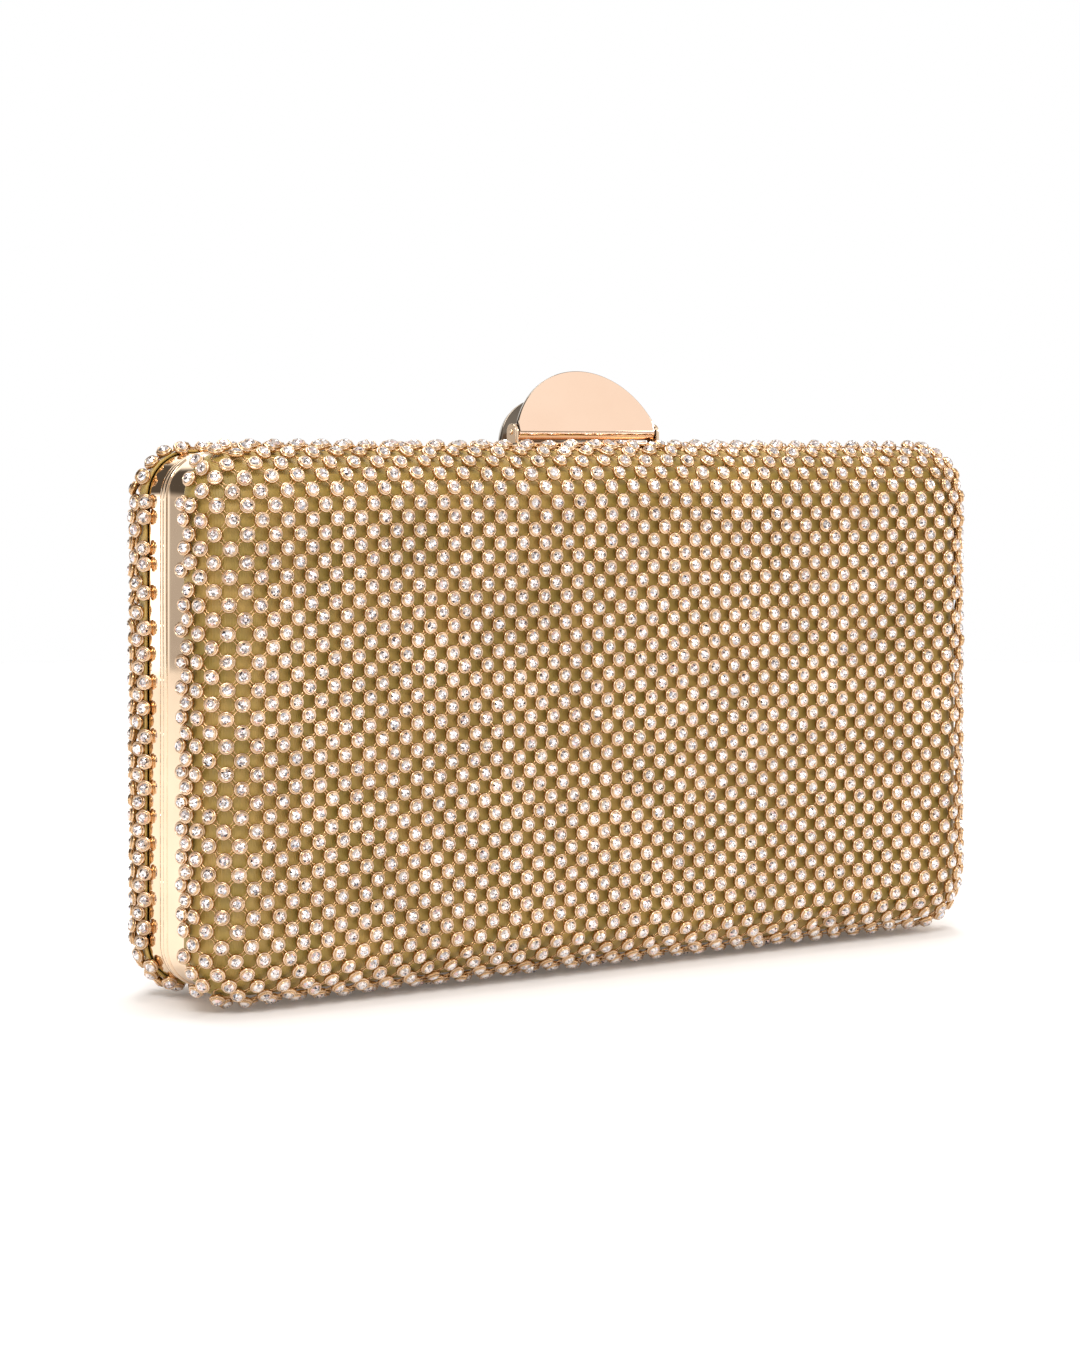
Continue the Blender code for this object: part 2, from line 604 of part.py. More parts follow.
def build_bag():
    front_frame, _ = build_half("front")
    back_frame, back_pieces = build_half("back")
    for place_name in HINGE_X:
        hinge_pin(place_name)
        for half, frame in (("front", front_frame), ("back", back_frame)):
            leaf = hinge_leaf(half, place_name)
            rivets = [rivet(half, place_name, number, frame, leaf) for number in range(2)]
            if half == "back":
                back_pieces += [leaf, *rivets]
    base = clasp_base(front_frame)
    lug = rear_lug()
    strike = keeper()
    for label, sign in (("left", -1), ("right", 1)):
        x = sign * CLASP_SCREW_X
        under_frame = HEIGHT - FRAME_INNER - SCREW_SEAT
        base_top = HEIGHT - FRONT_BEAD_INSET + CLASP_SCREW_REACH
        front_y = from_seam("front", AXIS_DISTANCE)
        screw_from_inside(f"clasp_screw_{label}", x, front_y, under_frame, base_top, (front_frame, base))
        back_y = from_seam("back", LUG_SCREW_DISTANCE)
        under_keeper = HEIGHT - FRAME_INNER - GAP - KEEPER_THICKNESS - SCREW_SEAT
        foot_top = HEIGHT - BACK_BEAD_INSET + LUG_SCREW_REACH
        pieces = (back_frame, lug, strike)
        back_pieces.append(
            screw_from_inside(f"lug_screw_{label}", x, back_y, under_keeper, foot_top, pieces)
        )
    clasp_pin()
    clasp_spring()
    back_pieces += [lug, strike, slip_pocket()]
    pivot("case_hinge_axis", (0, SEAM_Y, HINGE_Z), back_pieces)
    axis = (0, from_seam("front", AXIS_DISTANCE), AXIS_Z)
    pivot("clasp_axis", axis, [clasp_lever(), clasp_hook()])


clear_scene()
PIECES = new_collection("evening_bag")
CUTTERS = new_collection("cutters")
build_bag()
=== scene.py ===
"""Looks of the evening bag: stone mesh over satin, mirror gold frames, half-disc clasp, lined inside."""

import json
import math

import bmesh
import bpy
import numpy as np
from mathutils import Matrix, Vector
from mathutils.bvhtree import BVHTree


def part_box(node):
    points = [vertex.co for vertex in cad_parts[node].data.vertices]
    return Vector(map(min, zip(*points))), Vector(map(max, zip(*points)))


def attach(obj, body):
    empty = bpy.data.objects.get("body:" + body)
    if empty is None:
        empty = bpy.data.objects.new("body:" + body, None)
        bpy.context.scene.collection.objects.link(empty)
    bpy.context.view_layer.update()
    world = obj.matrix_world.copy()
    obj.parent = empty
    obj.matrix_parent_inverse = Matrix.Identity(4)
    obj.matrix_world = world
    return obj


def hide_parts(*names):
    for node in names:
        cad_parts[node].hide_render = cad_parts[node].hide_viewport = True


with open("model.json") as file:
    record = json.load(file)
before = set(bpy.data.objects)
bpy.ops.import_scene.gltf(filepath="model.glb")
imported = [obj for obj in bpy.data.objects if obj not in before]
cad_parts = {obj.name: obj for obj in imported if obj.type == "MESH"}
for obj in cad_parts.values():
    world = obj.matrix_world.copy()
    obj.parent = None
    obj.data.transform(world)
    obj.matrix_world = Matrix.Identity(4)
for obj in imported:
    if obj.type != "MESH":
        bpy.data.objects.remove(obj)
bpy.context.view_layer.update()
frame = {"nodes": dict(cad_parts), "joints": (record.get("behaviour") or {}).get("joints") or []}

MM = 0.001
RNG = np.random.default_rng(20)
JOINTS = {joint["name"]: joint for joint in frame["joints"]}
SEAM_Y = JOINTS["case_hinge"]["pos_m"][1]
CLASP_Y, CLASP_Z = JOINTS["clasp_press"]["pos_m"][1:]
MESH_LOW, MESH_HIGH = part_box("front_stone_mesh")
HALF_WIDTH, HALF_HEIGHT = MESH_HIGH.x, (MESH_HIGH.z - MESH_LOW.z) / 2
MIDDLE_Z = (MESH_HIGH.z + MESH_LOW.z) / 2
SIDES = {"front": -1, "back": 1}

# Outline of the bag and the rounded edge of each tray, at the outside of the stones
CORNER_RADIUS = 12.5 * MM
EDGE_RADIUS = 13.9 * MM
CORNER_STEPS = 14
EDGE_STEPS = 20
COVER_INSET = 2.6 * MM
LINING_INSET = 6.1 * MM
RIMS = {"front": 10.9 * MM, "back": 6.9 * MM}
SATIN_REACH = 0.25 * MM
LINING_RIM = 1.65 * MM
LINING_TURN = ((-1.15, 1.52), (-1.0, 1.43), (-0.4, 1.40), (-0.12, 1.47))
LINING_STOPS = np.linspace(3.0, 5.5, 3) * MM
SATIN_RUNS, LINING_RUNS = (24, 44), (40, 72)
SATIN_THICKNESS, LINING_THICKNESS = 0.5 * MM, 0.35 * MM
RIPPLE_WAVES = 5
SATIN_SEEDS = {"front": 11, "back": 10}
NOTCH_HALF_WIDTH = 15.0 * MM
NOTCH_FLOOR_Z = 106.0 * MM

# Rhinestone mesh: its lattice of cups, in half steps
HALF_STEP = 2.81 * MM
LEAN = -0.0235
WANDER = 0.12
COLUMNS, ROWS = 46, 28
MESH_PHASE = {"front": (-5.58 * MM, 1.85 * MM), "back": (1.9 * MM, -0.6 * MM)}
PAST_RIM = 12 * MM
OFF_SKIN = 9 * MM

# Room between cups, and the extra ones round corners and hem
LEAST_SPACING = 3.2 * MM
CROWDED = 0.84
EASE_ROUNDS = 16
EASE_SHARE = 0.45
FILL_SPACING = 2.9 * MM
FILL_RUNS = (120, 220)

# How the cups sit: height, tilt, and how they turn and sink at the hem
LIFT = 0.85 * MM
LIFT_SPREAD = 0.12
FACE_TILT, EDGE_TILT = 0.04, 0.14
EDGE_ROOM = {"front": 0.5 * MM, "back": -0.4 * MM}
HEM_REACH = 4.5 * MM
HEM_TILT = {"front": 0.4, "back": 0.9}
HEM_SINK = {"front": 0.3 * MM, "back": 0.85 * MM}

# Wire links; a gap outside the spans, or open at the hem, gets none
LINK_RING_RADIUS = 1.78 * MM
LINK_WIRE_RADIUS = 0.13 * MM
LINK_HEIGHT = 0.35 * MM
LINK_SPANS = (0.45, 1.5)
LINK_STEPS, WIRE_STEPS = 12, 4
RING_HEM = 3.0 * MM

# How far inside the bead each frame's band lies: beside the bead, and at its rim
BAND_BELOW_BEAD = {"front": (0.25 * MM, 0.61 * MM), "back": (0.50 * MM, -0.08 * MM)}

# A flat face's rings, as shares of the way from its middle to its edge
FACE_SHARES = (0.0, 0.5, 0.9, 0.985)

# Clasp
BARREL_RADIUS = 1.8 * MM
BARREL_HALF_LENGTH = 18.0 * MM
CLASP_HALF_LENGTH = 19.1 * MM
CLASP_FOOT_THICKNESS = 2.0 * MM
PLATE_RADIUS = 19.6 * MM
PLATE_CENTRE_BELOW_AXIS = 5.99 * MM
PLATE_FOOT = 0.55 * MM
PLATE_IN_FRONT = 1.3 * MM
PLATE_THICKNESS = 1.0 * MM
PLATE_LEAN = math.radians(18.0)
LUG_RADIUS = 16.2 * MM
LUG_CENTRE_BELOW_FOOT = 2.5 * MM
LUG_LEAN = math.radians(30.0)
LUG_DISTANCE = 2.65 * MM
LUG_THICKNESS = 1.5 * MM
LUG_FOOT_THICKNESS = 2.0 * MM
LUG_FOOT_NEAR = 1.2 * MM

# Turns a piece made about Z to lie along X
ALONG_X = Matrix.Rotation(math.pi / 2, 4, "Y")

# Case hinges, underneath
HINGE_X = (-60.0 * MM, 60.0 * MM)
HINGE_HALF_LENGTH = 12.0 * MM
MIDDLE_KNUCKLE = 3.9 * MM
LEAF_LENGTH = 6.3 * MM
LEAF_THICKNESS = 0.9 * MM
RIVET_DISTANCE = 4.1 * MM
RIVET_OFFSET = 8.0 * MM
RIVET_HEAD_RADIUS, RIVET_HEAD_HEIGHT = 1.2 * MM, 0.6 * MM
RIVET_SHANK_RADIUS, RIVET_SHANK_LENGTH = 0.6 * MM, 1.9 * MM
LEAF_ROOT = 0.4 * MM
HINGE_GAP = 0.3 * MM

# Slip pocket
POCKET_HEM = 8.0 * MM
POCKET_CORNER = 5.0 * MM
STITCH_PITCH = 2.4 * MM
STITCH_LENGTH = 1.7 * MM
STITCH_INSET = 2.0 * MM
STITCH_RADIUS = 0.17 * MM
POCKET_COLUMNS = 81
POCKET_SLACK = 0.9 * MM


# ---- meshes

def new_object(name, data):
    """A mesh, lamp or camera as an object in the scene."""
    obj = bpy.data.objects.new(name, data)
    bpy.context.scene.collection.objects.link(obj)
    return obj


def mesh_object(name, vertices, faces, materials, picks=None):
    """A smooth mesh from an array of points and an array of equal-sided faces."""
    mesh = bpy.data.meshes.new(name)
    faces = np.asarray(faces, np.int32)
    sides = faces.shape[1]
    mesh.vertices.add(len(vertices))
    mesh.vertices.foreach_set("co", np.asarray(vertices, np.float32).ravel())
    mesh.loops.add(faces.size)
    mesh.loops.foreach_set("vertex_index", faces.ravel())
    mesh.polygons.add(len(faces))
    mesh.polygons.foreach_set("loop_start", np.arange(0, faces.size, sides, dtype=np.int32))
    if picks is not None:
        mesh.polygons.foreach_set("material_index", np.asarray(picks, np.int32))
    mesh.update(calc_edges=True)
    for material in materials:
        mesh.materials.append(material)
    mesh.shade_smooth()
    return new_object(name, mesh)


def weld(obj):
    """Joins points that coincide, and turns every face outward."""
    bm = bmesh.new()
    bm.from_mesh(obj.data)
    bmesh.ops.remove_doubles(bm, verts=bm.verts, dist=1e-7)
    bmesh.ops.recalc_face_normals(bm, faces=bm.faces)
    bm.to_mesh(obj.data)
    bm.free()
    return obj


def sharpen(obj, degrees=35):
    obj.data.set_sharp_from_angle(angle=math.radians(degrees))
    return obj


def join(name, objs):
    """One object from several, keeping their materials."""
    bm = bmesh.new()
    materials = []
    for obj in objs:
        start = len(bm.faces)
        bm.from_mesh(obj.data)
        bm.faces.ensure_lookup_table()
        offset = len(materials)
        for face in bm.faces[start:]:
            face.material_index += offset
        materials += list(obj.data.materials)
        bpy.data.objects.remove(obj)
    mesh = bpy.data.meshes.new(name)
    bm.to_mesh(mesh)
    bm.free()
    for material in materials:
        mesh.materials.append(material)
    return new_object(name, mesh)


def swept(loops, closed=False, around=True):
    """Points and quads of a skin over equal loops; closed joins the last loop to the first."""
    loops = np.asarray(loops, float)
    rows, count = loops.shape[:2]
    i = np.arange(rows if closed else rows - 1)[:, None]
    j = np.arange(count if around else count - 1)[None, :]
    a = i * count + j
    b = i * count + (j + 1) % count
    c = (i + 1) % rows * count + (j + 1) % count
    d = (i + 1) % rows * count + j
    return loops.reshape(-1, 3), np.stack([a, b, c, d], -1).reshape(-1, 4)


def circle(steps, half_step_on=False):
    angles = 2 * np.pi * (np.arange(steps) + 0.5 * half_step_on) / steps
    return np.stack([np.cos(angles), np.sin(angles)], -1)


def at_height(flat, height):
    return np.column_stack([flat, np.full(len(flat), height)])


def unit(rows):
    return rows / np.linalg.norm(rows, axis=1)[:, None]


def search_tree(points, faces):
    faces = [tuple(map(int, face)) for face in faces]
    return BVHTree.FromPolygons([Vector(point) for point in points], faces)


def turned(profile, steps):
    """Points and quads of a (radius, height) profile turned about Z."""
    ring = circle(steps)
    return swept([at_height(ring * radius, height) for radius, height in profile])


def copies(template, centres, axes):
    """A template of points and faces repeated at each centre, along each local set of three axes."""
    points, faces = template
    placed = centres[:, None, :] + np.einsum("pk,nkc->npc", points, axes)
    offsets = np.arange(len(centres))[:, None, None] * len(points)
    return placed.reshape(-1, 3), (faces[None] + offsets).reshape(-1, faces.shape[1])


def solid_turned(name, profile, steps, material, matrix):
    """A profile closed on the axis at both ends, turned and put in place."""
    obj = weld(mesh_object(name, *turned(profile, steps), [material]))
    obj.data.transform(matrix)
    return sharpen(obj)


def inset_outline(outline, distance):
    """A closed outline moved inward by a distance, on mitred corners."""
    before = unit(outline - np.roll(outline, 1, 0))
    after = unit(np.roll(outline, -1, 0) - outline)
    inward = np.stack([-(before[:, 1] + after[:, 1]), before[:, 0] + after[:, 0]], -1)
    least_mitre = 0.6
    length = np.maximum(np.linalg.norm(inward, axis=1), least_mitre)
    return outline + inward / (length ** 2)[:, None] * 2 * distance


def slab(name, outline, thickness, bevel, material, matrix):
    """A plate of an anticlockwise outline with rounded edges."""
    outline = np.asarray(outline, float)
    middle = (outline.max(0) + outline.min(0)) / 2
    steps = np.linspace(0, np.pi / 2, 5)
    edge = [(bevel * (1 - math.sin(a)), thickness / 2 - bevel * (1 - math.cos(a))) for a in steps]
    loops = [at_height(inset_outline(outline, inset), height) for inset, height in edge]
    rim = loops[0][:, :2] - middle
    half = [at_height(middle + rim * share, thickness / 2) for share in FACE_SHARES] + loops
    other = [loop * (1, 1, -1) for loop in reversed(half)]
    obj = weld(mesh_object(name, *swept(half + other), [material]))
    obj.data.transform(matrix)
    return sharpen(obj, 50)


def rounded_box(name, low, high, bevel, material):
    """A block with rounded edges between two corners."""
    low, high = Vector(low), Vector(high)
    size = high - low
    outline = rounded(size.x / 2, size.y / 2, 1.5 * bevel, 5)
    return slab(name, outline, size.z, bevel, material, Matrix.Translation((low + high) / 2))


def rounded(half_width, half_height, radius, corner_steps, runs=(1, 1)):
    """A rounded rectangle about its middle, anticlockwise, its long runs split into equal steps."""
    angles = np.linspace(0, np.pi / 2, corner_steps + 1)
    points = []
    corners = ((1, 1), (-1, 1), (-1, -1), (1, -1))
    for quarter, (sx, sy) in enumerate(corners):
        centre = np.array([sx * (half_width - radius), sy * (half_height - radius)])
        turn = angles + quarter * np.pi / 2
        arc = centre + radius * np.stack([np.cos(turn), np.sin(turn)], -1)
        points.append(arc)
        following = corners[(quarter + 1) % 4]
        start = (quarter + 1) * np.pi / 2
        ahead = np.array([following[0] * (half_width - radius), following[1] * (half_height - radius)])
        ahead = ahead + radius * np.array([math.cos(start), math.sin(start)])
        shares = np.linspace(0, 1, runs[quarter % 2] + 1)[1:-1, None]
        points.append(arc[-1] + (ahead - arc[-1]) * shares)
    return np.concatenate(points)


def finish_piece(obj, body, slot_name, *nodes):
    """Sets the body a piece rides on and hides the CAD nodes it stands for; its finish is not used."""
    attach(obj, body)
    if nodes:
        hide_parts(*nodes)


# ---- materials

NOISE_RANGE = (0.3, 0.7)


def add_node(tree, kind, values, sources, **settings):
    """A node with these settings, and with values and linked sockets on its inputs."""
    node = tree.nodes.new(kind)
    for name, setting in settings.items():
        setattr(node, name, setting)
    for name, value in values.items():
        node.inputs[name].default_value = value
    for name, source in sources.items():
        tree.links.new(source, node.inputs[name])
    return node


class Nodes:
    """Short ways to wire a material's nodes."""

    def __init__(self, name):
        self.material = bpy.data.materials.new(name)
        self.material.use_nodes = True
        self.tree = self.material.node_tree
        self.shader = self.tree.nodes["Principled BSDF"]
        self.place = self.tree.nodes.new("ShaderNodeTexCoord").outputs["Object"]

    def put(self, socket, value):
        target = self.shader.inputs[socket]
        if isinstance(value, bpy.types.NodeSocket):
            self.tree.links.new(value, target)
        elif isinstance(value, tuple):
            target.default_value = (*value, 1.0)
        else:
            target.default_value = value

    def noise(self, scale, detail=3.0, stretch=(1, 1, 1)):
        mapping = add_node(self.tree, "ShaderNodeMapping", {"Scale": stretch}, {"Vector": self.place})
        values, place = {"Scale": scale, "Detail": detail}, {"Vector": mapping.outputs["Vector"]}
        return add_node(self.tree, "ShaderNodeTexNoise", values, place).outputs["Fac"]

    def bands(self, direction, period, distortion):
        """Even bands; a wave texture turns 20 radians per unit at scale 1."""
        values = {"Scale": 2 * math.pi / (20 * period), "Distortion": distortion, "Detail": 1.0}
        place = {"Vector": self.place}
        node = add_node(self.tree, "ShaderNodeTexWave", values, place, bands_direction=direction)
        return node.outputs["Fac"]

    def ramp(self, factor, low, high):
        """A colour between two colours, as a noise goes through its usual range."""
        node = self.tree.nodes.new("ShaderNodeValToRGB")
        first, last = node.color_ramp.elements
        first.position, last.position = NOISE_RANGE
        first.color, last.color = (*low, 1), (*high, 1)
        self.tree.links.new(factor, node.inputs["Fac"])
        return node.outputs["Color"]

    def spread(self, factor, low, high):
        """A number between two numbers, as a noise goes through its usual range."""
        values = {"From Min": NOISE_RANGE[0], "From Max": NOISE_RANGE[1], "To Min": low, "To Max": high}
        return add_node(self.tree, "ShaderNodeMapRange", values, {"Value": factor}).outputs["Result"]

    def add(self, a, b, share=1.0):
        sockets = {0: b, 2: a}
        node = add_node(self.tree, "ShaderNodeMath", {1: share}, sockets, operation="MULTIPLY_ADD")
        return node.outputs[0]

    def bump(self, height, strength, depth):
        values = {"Strength": strength, "Distance": depth}
        node = add_node(self.tree, "ShaderNodeBump", values, {"Height": height})
        self.tree.links.new(node.outputs["Normal"], self.shader.inputs["Normal"])


def plated(name, low, high, roughness, scratch=0.05):
    """Polished plating: slight colour drift, uneven polish and hair scratches."""
    nodes = Nodes(name)
    nodes.put("Metallic", 1.0)
    nodes.put("Base Color", nodes.ramp(nodes.noise(60.0), low, high))
    nodes.put("Roughness", nodes.spread(nodes.noise(250.0), *roughness))
    nodes.bump(nodes.noise(900.0, 2.0, (1.0, 0.06, 0.35)), scratch, 0.01 * MM)
    return nodes.material


def stone_facet(name, low, high):
    """One look of a foil-backed facet: a bright mirror with a tint; apart from clear, each tint is a painted
    reflection.
    """
    nodes = Nodes(name)
    nodes.put("Metallic", 0.9)
    nodes.put("Roughness", 0.06)
    nodes.put("Base Color", nodes.ramp(nodes.noise(700.0, 1.0), low, high))
    nodes.put("Coat Weight", 0.5)
    nodes.put("Coat Roughness", 0.02)
    return nodes.material


def woven(name, low, high, period, roughness, sheen):
    """Satin: colour drifting at random between two colours, fine warp lines crossed by weft, and a soft
    sheen.
    """
    nodes = Nodes(name)
    nodes.put("Base Color", nodes.ramp(nodes.noise(170.0, 2.0, (1, 1, 0.6)), low, high))
    nodes.put("Roughness", nodes.spread(nodes.noise(90.0), *roughness))
    nodes.put("Sheen Weight", sheen)
    nodes.put("Sheen Roughness", 0.35)
    warp = nodes.add(nodes.bands("X", period, 0.6), nodes.bands("Y", period, 0.6))
    weave = nodes.add(warp, nodes.bands("Z", period * 0.7, 0.4), 0.35)
    nodes.bump(nodes.add(weave, nodes.noise(160.0), 1.2), 0.35, 0.05 * MM)
    return nodes.material


def board(name):
    """Pressed grey board with fibre flecks."""
    nodes = Nodes(name)
    nodes.put("Base Color", nodes.ramp(nodes.noise(600.0, 6.0), (0.13, 0.11, 0.09), (0.24, 0.21, 0.18)))
    nodes.put("Roughness", nodes.spread(nodes.noise(120.0), 0.75, 0.95))
    nodes.bump(nodes.noise(900.0, 5.0), 0.4, 0.1 * MM)
    return nodes.material


GOLD = plated("mirror_gold", (0.84, 0.64, 0.45), (0.92, 0.72, 0.52), (0.04, 0.08))
# Dark gold: painted shade on the rear half-disc and on the press plate's rim faces
PAINTED_SHADE_GOLD = plated("shaded_gold", (0.11, 0.09, 0.07), (0.20, 0.165, 0.13), (0.06, 0.12))
ROSE_GOLD = plated("mirror_rose_gold", (0.96, 0.70, 0.53), (0.99, 0.74, 0.57), (0.03, 0.07), 0.02)
CUP_GOLD = plated("cup_rose_gold", (0.57, 0.41, 0.27), (0.84, 0.63, 0.45), (0.22, 0.36), 0.2)
# Darker gold: painted shade on the cups' outer walls and inner rims, and on the wire links between the cups
PAINTED_SHADE_LINK_GOLD = plated("link_gold", (0.54, 0.32, 0.15), (0.72, 0.46, 0.24), (0.18, 0.30), 0.2)
STEEL = plated("spring_steel", (0.50, 0.48, 0.46), (0.62, 0.60, 0.58), (0.22, 0.34), 0.3)
# Facet looks: clear is the stone's own colour; grey, rose, blue and dark are painted reflections, picked at
# random facet by facet
STONE_FACETS = (
    stone_facet("facet_clear", (0.86, 0.80, 0.76), (0.98, 0.92, 0.88)),
    stone_facet("facet_grey", (0.36, 0.34, 0.36), (0.62, 0.58, 0.60)),
    stone_facet("facet_rose", (0.86, 0.60, 0.58), (1.0, 0.78, 0.74)),
    stone_facet("facet_blue", (0.55, 0.60, 0.72), (0.78, 0.82, 0.92)),
    stone_facet("facet_dark", (0.06, 0.05, 0.06), (0.22, 0.19, 0.20)),
)
# The satin's olive is its own colour; its drift towards tan is partly painted reflection of the rose-gold
# cups
SATIN = woven("olive_satin", (0.375, 0.267, 0.054), (0.545, 0.355, 0.095), 0.45 * MM, (0.38, 0.55), 0.15)
LINING = woven("champagne_lining", (0.50, 0.38, 0.22), (0.62, 0.49, 0.30), 0.5 * MM, (0.42, 0.6), 0.2)
THREAD = woven("champagne_thread", (0.56, 0.45, 0.28), (0.68, 0.57, 0.39), 0.25 * MM, (0.5, 0.65), 0.1)
BOARD = board("pressed_board")


# ---- the tray shape of a half

class Tray:
    """A layer of a half: flat face, rounded edge and corners, and walls down to a rim near the seam."""

    def __init__(self, half, inset, rim, runs=(1, 1), stops=()):
        low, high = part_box(f"{half}_stone_mesh")
        self.half = half
        self.side = SIDES[half]
        self.rim = rim
        self.hem = RIMS[half] + EDGE_ROOM[half]
        self.face = max(abs(low.y - SEAM_Y), abs(high.y - SEAM_Y)) - inset
        self.half_width = HALF_WIDTH - inset
        self.half_height = HALF_HEIGHT - inset
        self.radius = CORNER_RADIUS - inset
        self.edge = EDGE_RADIUS - inset
        self.runs = runs
        self.stops = stops

    def world(self, x, z, distance):
        """World points from X, height above the middle, and distance from the seam."""
        return np.stack([x, SEAM_Y + self.side * distance + 0 * x, MIDDLE_Z + z], -1)

    def middle(self, distance):
        return self.world(np.zeros(1), np.zeros(1), distance)

    def outline(self, shrink, distance):
        """The outline drawn in by shrink with its corners kept, this far from the seam."""
        width, height = self.half_width - shrink, self.half_height - shrink
        flat = rounded(width, height, self.radius, CORNER_STEPS, self.runs)
        return self.world(flat[:, 0], flat[:, 1], distance)

    def loops(self):
        """Loops from the rim over the edge to the face, and on in to the middle of the face."""
        loops = [self.outline(0.0, distance) for distance in (self.rim, *self.stops)]
        for turn in np.linspace(0, np.pi / 2, EDGE_STEPS + 1):
            distance = self.face - self.edge * (1 - math.sin(turn))
            if distance > self.rim + 0.1 * MM:
                loops.append(self.outline(self.edge * (1 - math.cos(turn)), distance))
        centre = self.middle(self.face)
        return loops + [centre + (loops[-1] - centre) * share for share in (0.9, 0.75, 0.5, 0.25, 0.0)]

    def tree(self):
        """The skin as a search tree, its face closed by a fan round the middle."""
        points, quads = swept(self.loops()[:-1])
        centre = len(points)
        points = np.concatenate([points, self.middle(self.face)])
        last = len(self.loops()[0])
        fan = [(centre - last + i, centre - last + (i + 1) % last, centre) for i in range(last)]
        return search_tree(points, [*quads, *fan])

    def fold(self, along, flat):
        """A developed distance from the middle, folded over the edge: place, and drop to the seam."""
        over = np.clip(np.abs(along) - flat, 0, None)
        turn = np.minimum(over / self.edge, np.pi / 2)
        past = np.clip(over - self.edge * np.pi / 2, 0, None)
        place = np.sign(along) * (np.minimum(np.abs(along), flat) + self.edge * np.sin(turn))
        return place, self.edge * (1 - np.cos(turn)) + past

    def from_seam(self, points):
        return (points[:, 1] - SEAM_Y) * self.side

    def settle(self, tree, points):
        """The nearest places on the skin, and the way out of it there."""
        found = [tree.find_nearest(Vector(point))[:2] for point in points]
        places = np.array([hit[0] for hit in found])
        normals = np.array([hit[1] for hit in found])
        out = places - self.middle(self.rim)
        normals[np.einsum("ij,ij->i", normals, out) < 0] *= -1
        return places, normals


# ---- rhinestone mesh

def drift(u, v, seed):
    """A smooth wander of the lattice, up to about one."""
    phase = np.random.default_rng(seed).uniform(0, 2 * np.pi, 4)
    waves = ((0.10, 0.16), (0.23, -0.09), (0.07, 0.31), (0.33, 0.21))
    weights = (0.4, 0.3, 0.2, 0.15)
    return sum(w * np.sin(a * u + b * v + p) for w, (a, b), p in zip(weights, waves, phase))


def lattice(tray, tree, phase):
    """Column and row numbers of the cups that fit on the tray, with their places."""
    u, v = np.meshgrid(np.arange(-COLUMNS, COLUMNS + 1), np.arange(-ROWS, ROWS + 1), indexing="ij")
    cups = (u + v) % 2 == 0
    u, v = u[cups].astype(float), v[cups].astype(float)
    along_x = phase[0] + HALF_STEP * (u + LEAN * v + WANDER * drift(u, v, 1))
    along_z = phase[1] - HALF_STEP * (v + WANDER * drift(u, v, 2))
    x, drop_x = tray.fold(along_x, tray.half_width - tray.edge)
    z, drop_z = tray.fold(along_z, tray.half_height - tray.edge)
    ideal = tray.world(x, z, tray.face - drop_x - drop_z)
    near = tray.from_seam(ideal) > tray.rim - PAST_RIM
    u, v, ideal = u[near], v[near], ideal[near]
    places = tray.settle(tree, ideal)[0]
    off_skin = np.linalg.norm(places - ideal, axis=1)
    kept = (tray.from_seam(places) > tray.hem) & (off_skin < OFF_SKIN)
    u, v, places, off_skin = u[kept], v[kept], places[kept], off_skin[kept]
    clear = []
    for i in np.argsort(off_skin):
        apart = np.linalg.norm(places[clear] - places[i], axis=1) if clear else [np.inf]
        if np.min(apart) > CROWDED * LEAST_SPACING:
            clear.append(i)
    clear = np.array(sorted(clear))
    return u[clear], v[clear], places[clear]


def ease_apart(tray, tree, places):
    """Nudges crowded cups apart on the skin, as the mesh bunches round a corner."""
    for _ in range(EASE_ROUNDS):
        gaps = places[:, None] - places[None]
        distance = np.linalg.norm(gaps, axis=2) + np.eye(len(places))
        short = np.clip(LEAST_SPACING - distance, 0, None)
        np.fill_diagonal(short, 0)
        push = (gaps / distance[..., None] * short[..., None]).sum(1) * EASE_SHARE
        moved = np.linalg.norm(push, axis=1) > 1e-6
        if not moved.any():
            break
        pushed = places[moved] + push[moved]
        pushed[:, 1] = SEAM_Y + tray.side * np.maximum(tray.from_seam(pushed), tray.hem)
        places[moved] = tray.settle(tree, pushed)[0]
    return tray.settle(tree, places)


def fill_in(half, places):
    """Places for extra cups wherever the corners and the rim leave more room than the mesh would."""
    tray = Tray(half, COVER_INSET, RIMS[half], FILL_RUNS)
    spots = np.concatenate(tray.loops()[:-3])
    distances = tray.from_seam(spots)
    spots = RNG.permutation(np.concatenate([spots[distances > tray.hem], tray.outline(0.0, tray.hem)]))
    room = np.full(len(spots), np.inf)
    for place in places:
        room = np.minimum(room, np.linalg.norm(spots - place, axis=1))
    extra = []
    while room.max() > FILL_SPACING:
        chosen = int(np.argmax(np.where(room > FILL_SPACING, -room, -np.inf)))
        extra.append(spots[chosen])
        room = np.minimum(room, np.linalg.norm(spots - spots[chosen], axis=1))
    return np.array(extra).reshape(-1, 3)


def axes_of(normals, tilt):
    """Local axes whose third is the normal, tilted by a small random amount and spun at random."""
    normals = unit(normals + RNG.normal(0, 1, normals.shape) * tilt)
    guide = np.where(np.abs(normals[:, 2:3]) < 0.9, [[0.0, 0.0, 1.0]], [[1.0, 0.0, 0.0]])
    first = unit(np.cross(guide, normals))
    second = np.cross(normals, first)
    spin = RNG.uniform(0, 2 * np.pi, len(normals))[:, None]
    across = np.cos(spin) * first + np.sin(spin) * second
    return np.stack([across, np.cross(normals, across), normals], 1)


# A cup in section, as (radius, height), and which of its bands take the darker gold as painted shade
CUP_PROFILE = [(radius * MM, height * MM) for radius, height in (
    (1.40, 0.00), (1.60, 0.12), (1.66, 0.42), (1.60, 0.70), (1.42, 0.84),
    (1.35, 0.80), (1.34, 1.08), (1.25, 1.22), (1.14, 1.22), (1.07, 1.10),
)]
CUP_SHADED = (1, 1, 1, 0, 1, 1, 0, 0, 0)
CUP_STEPS = 14

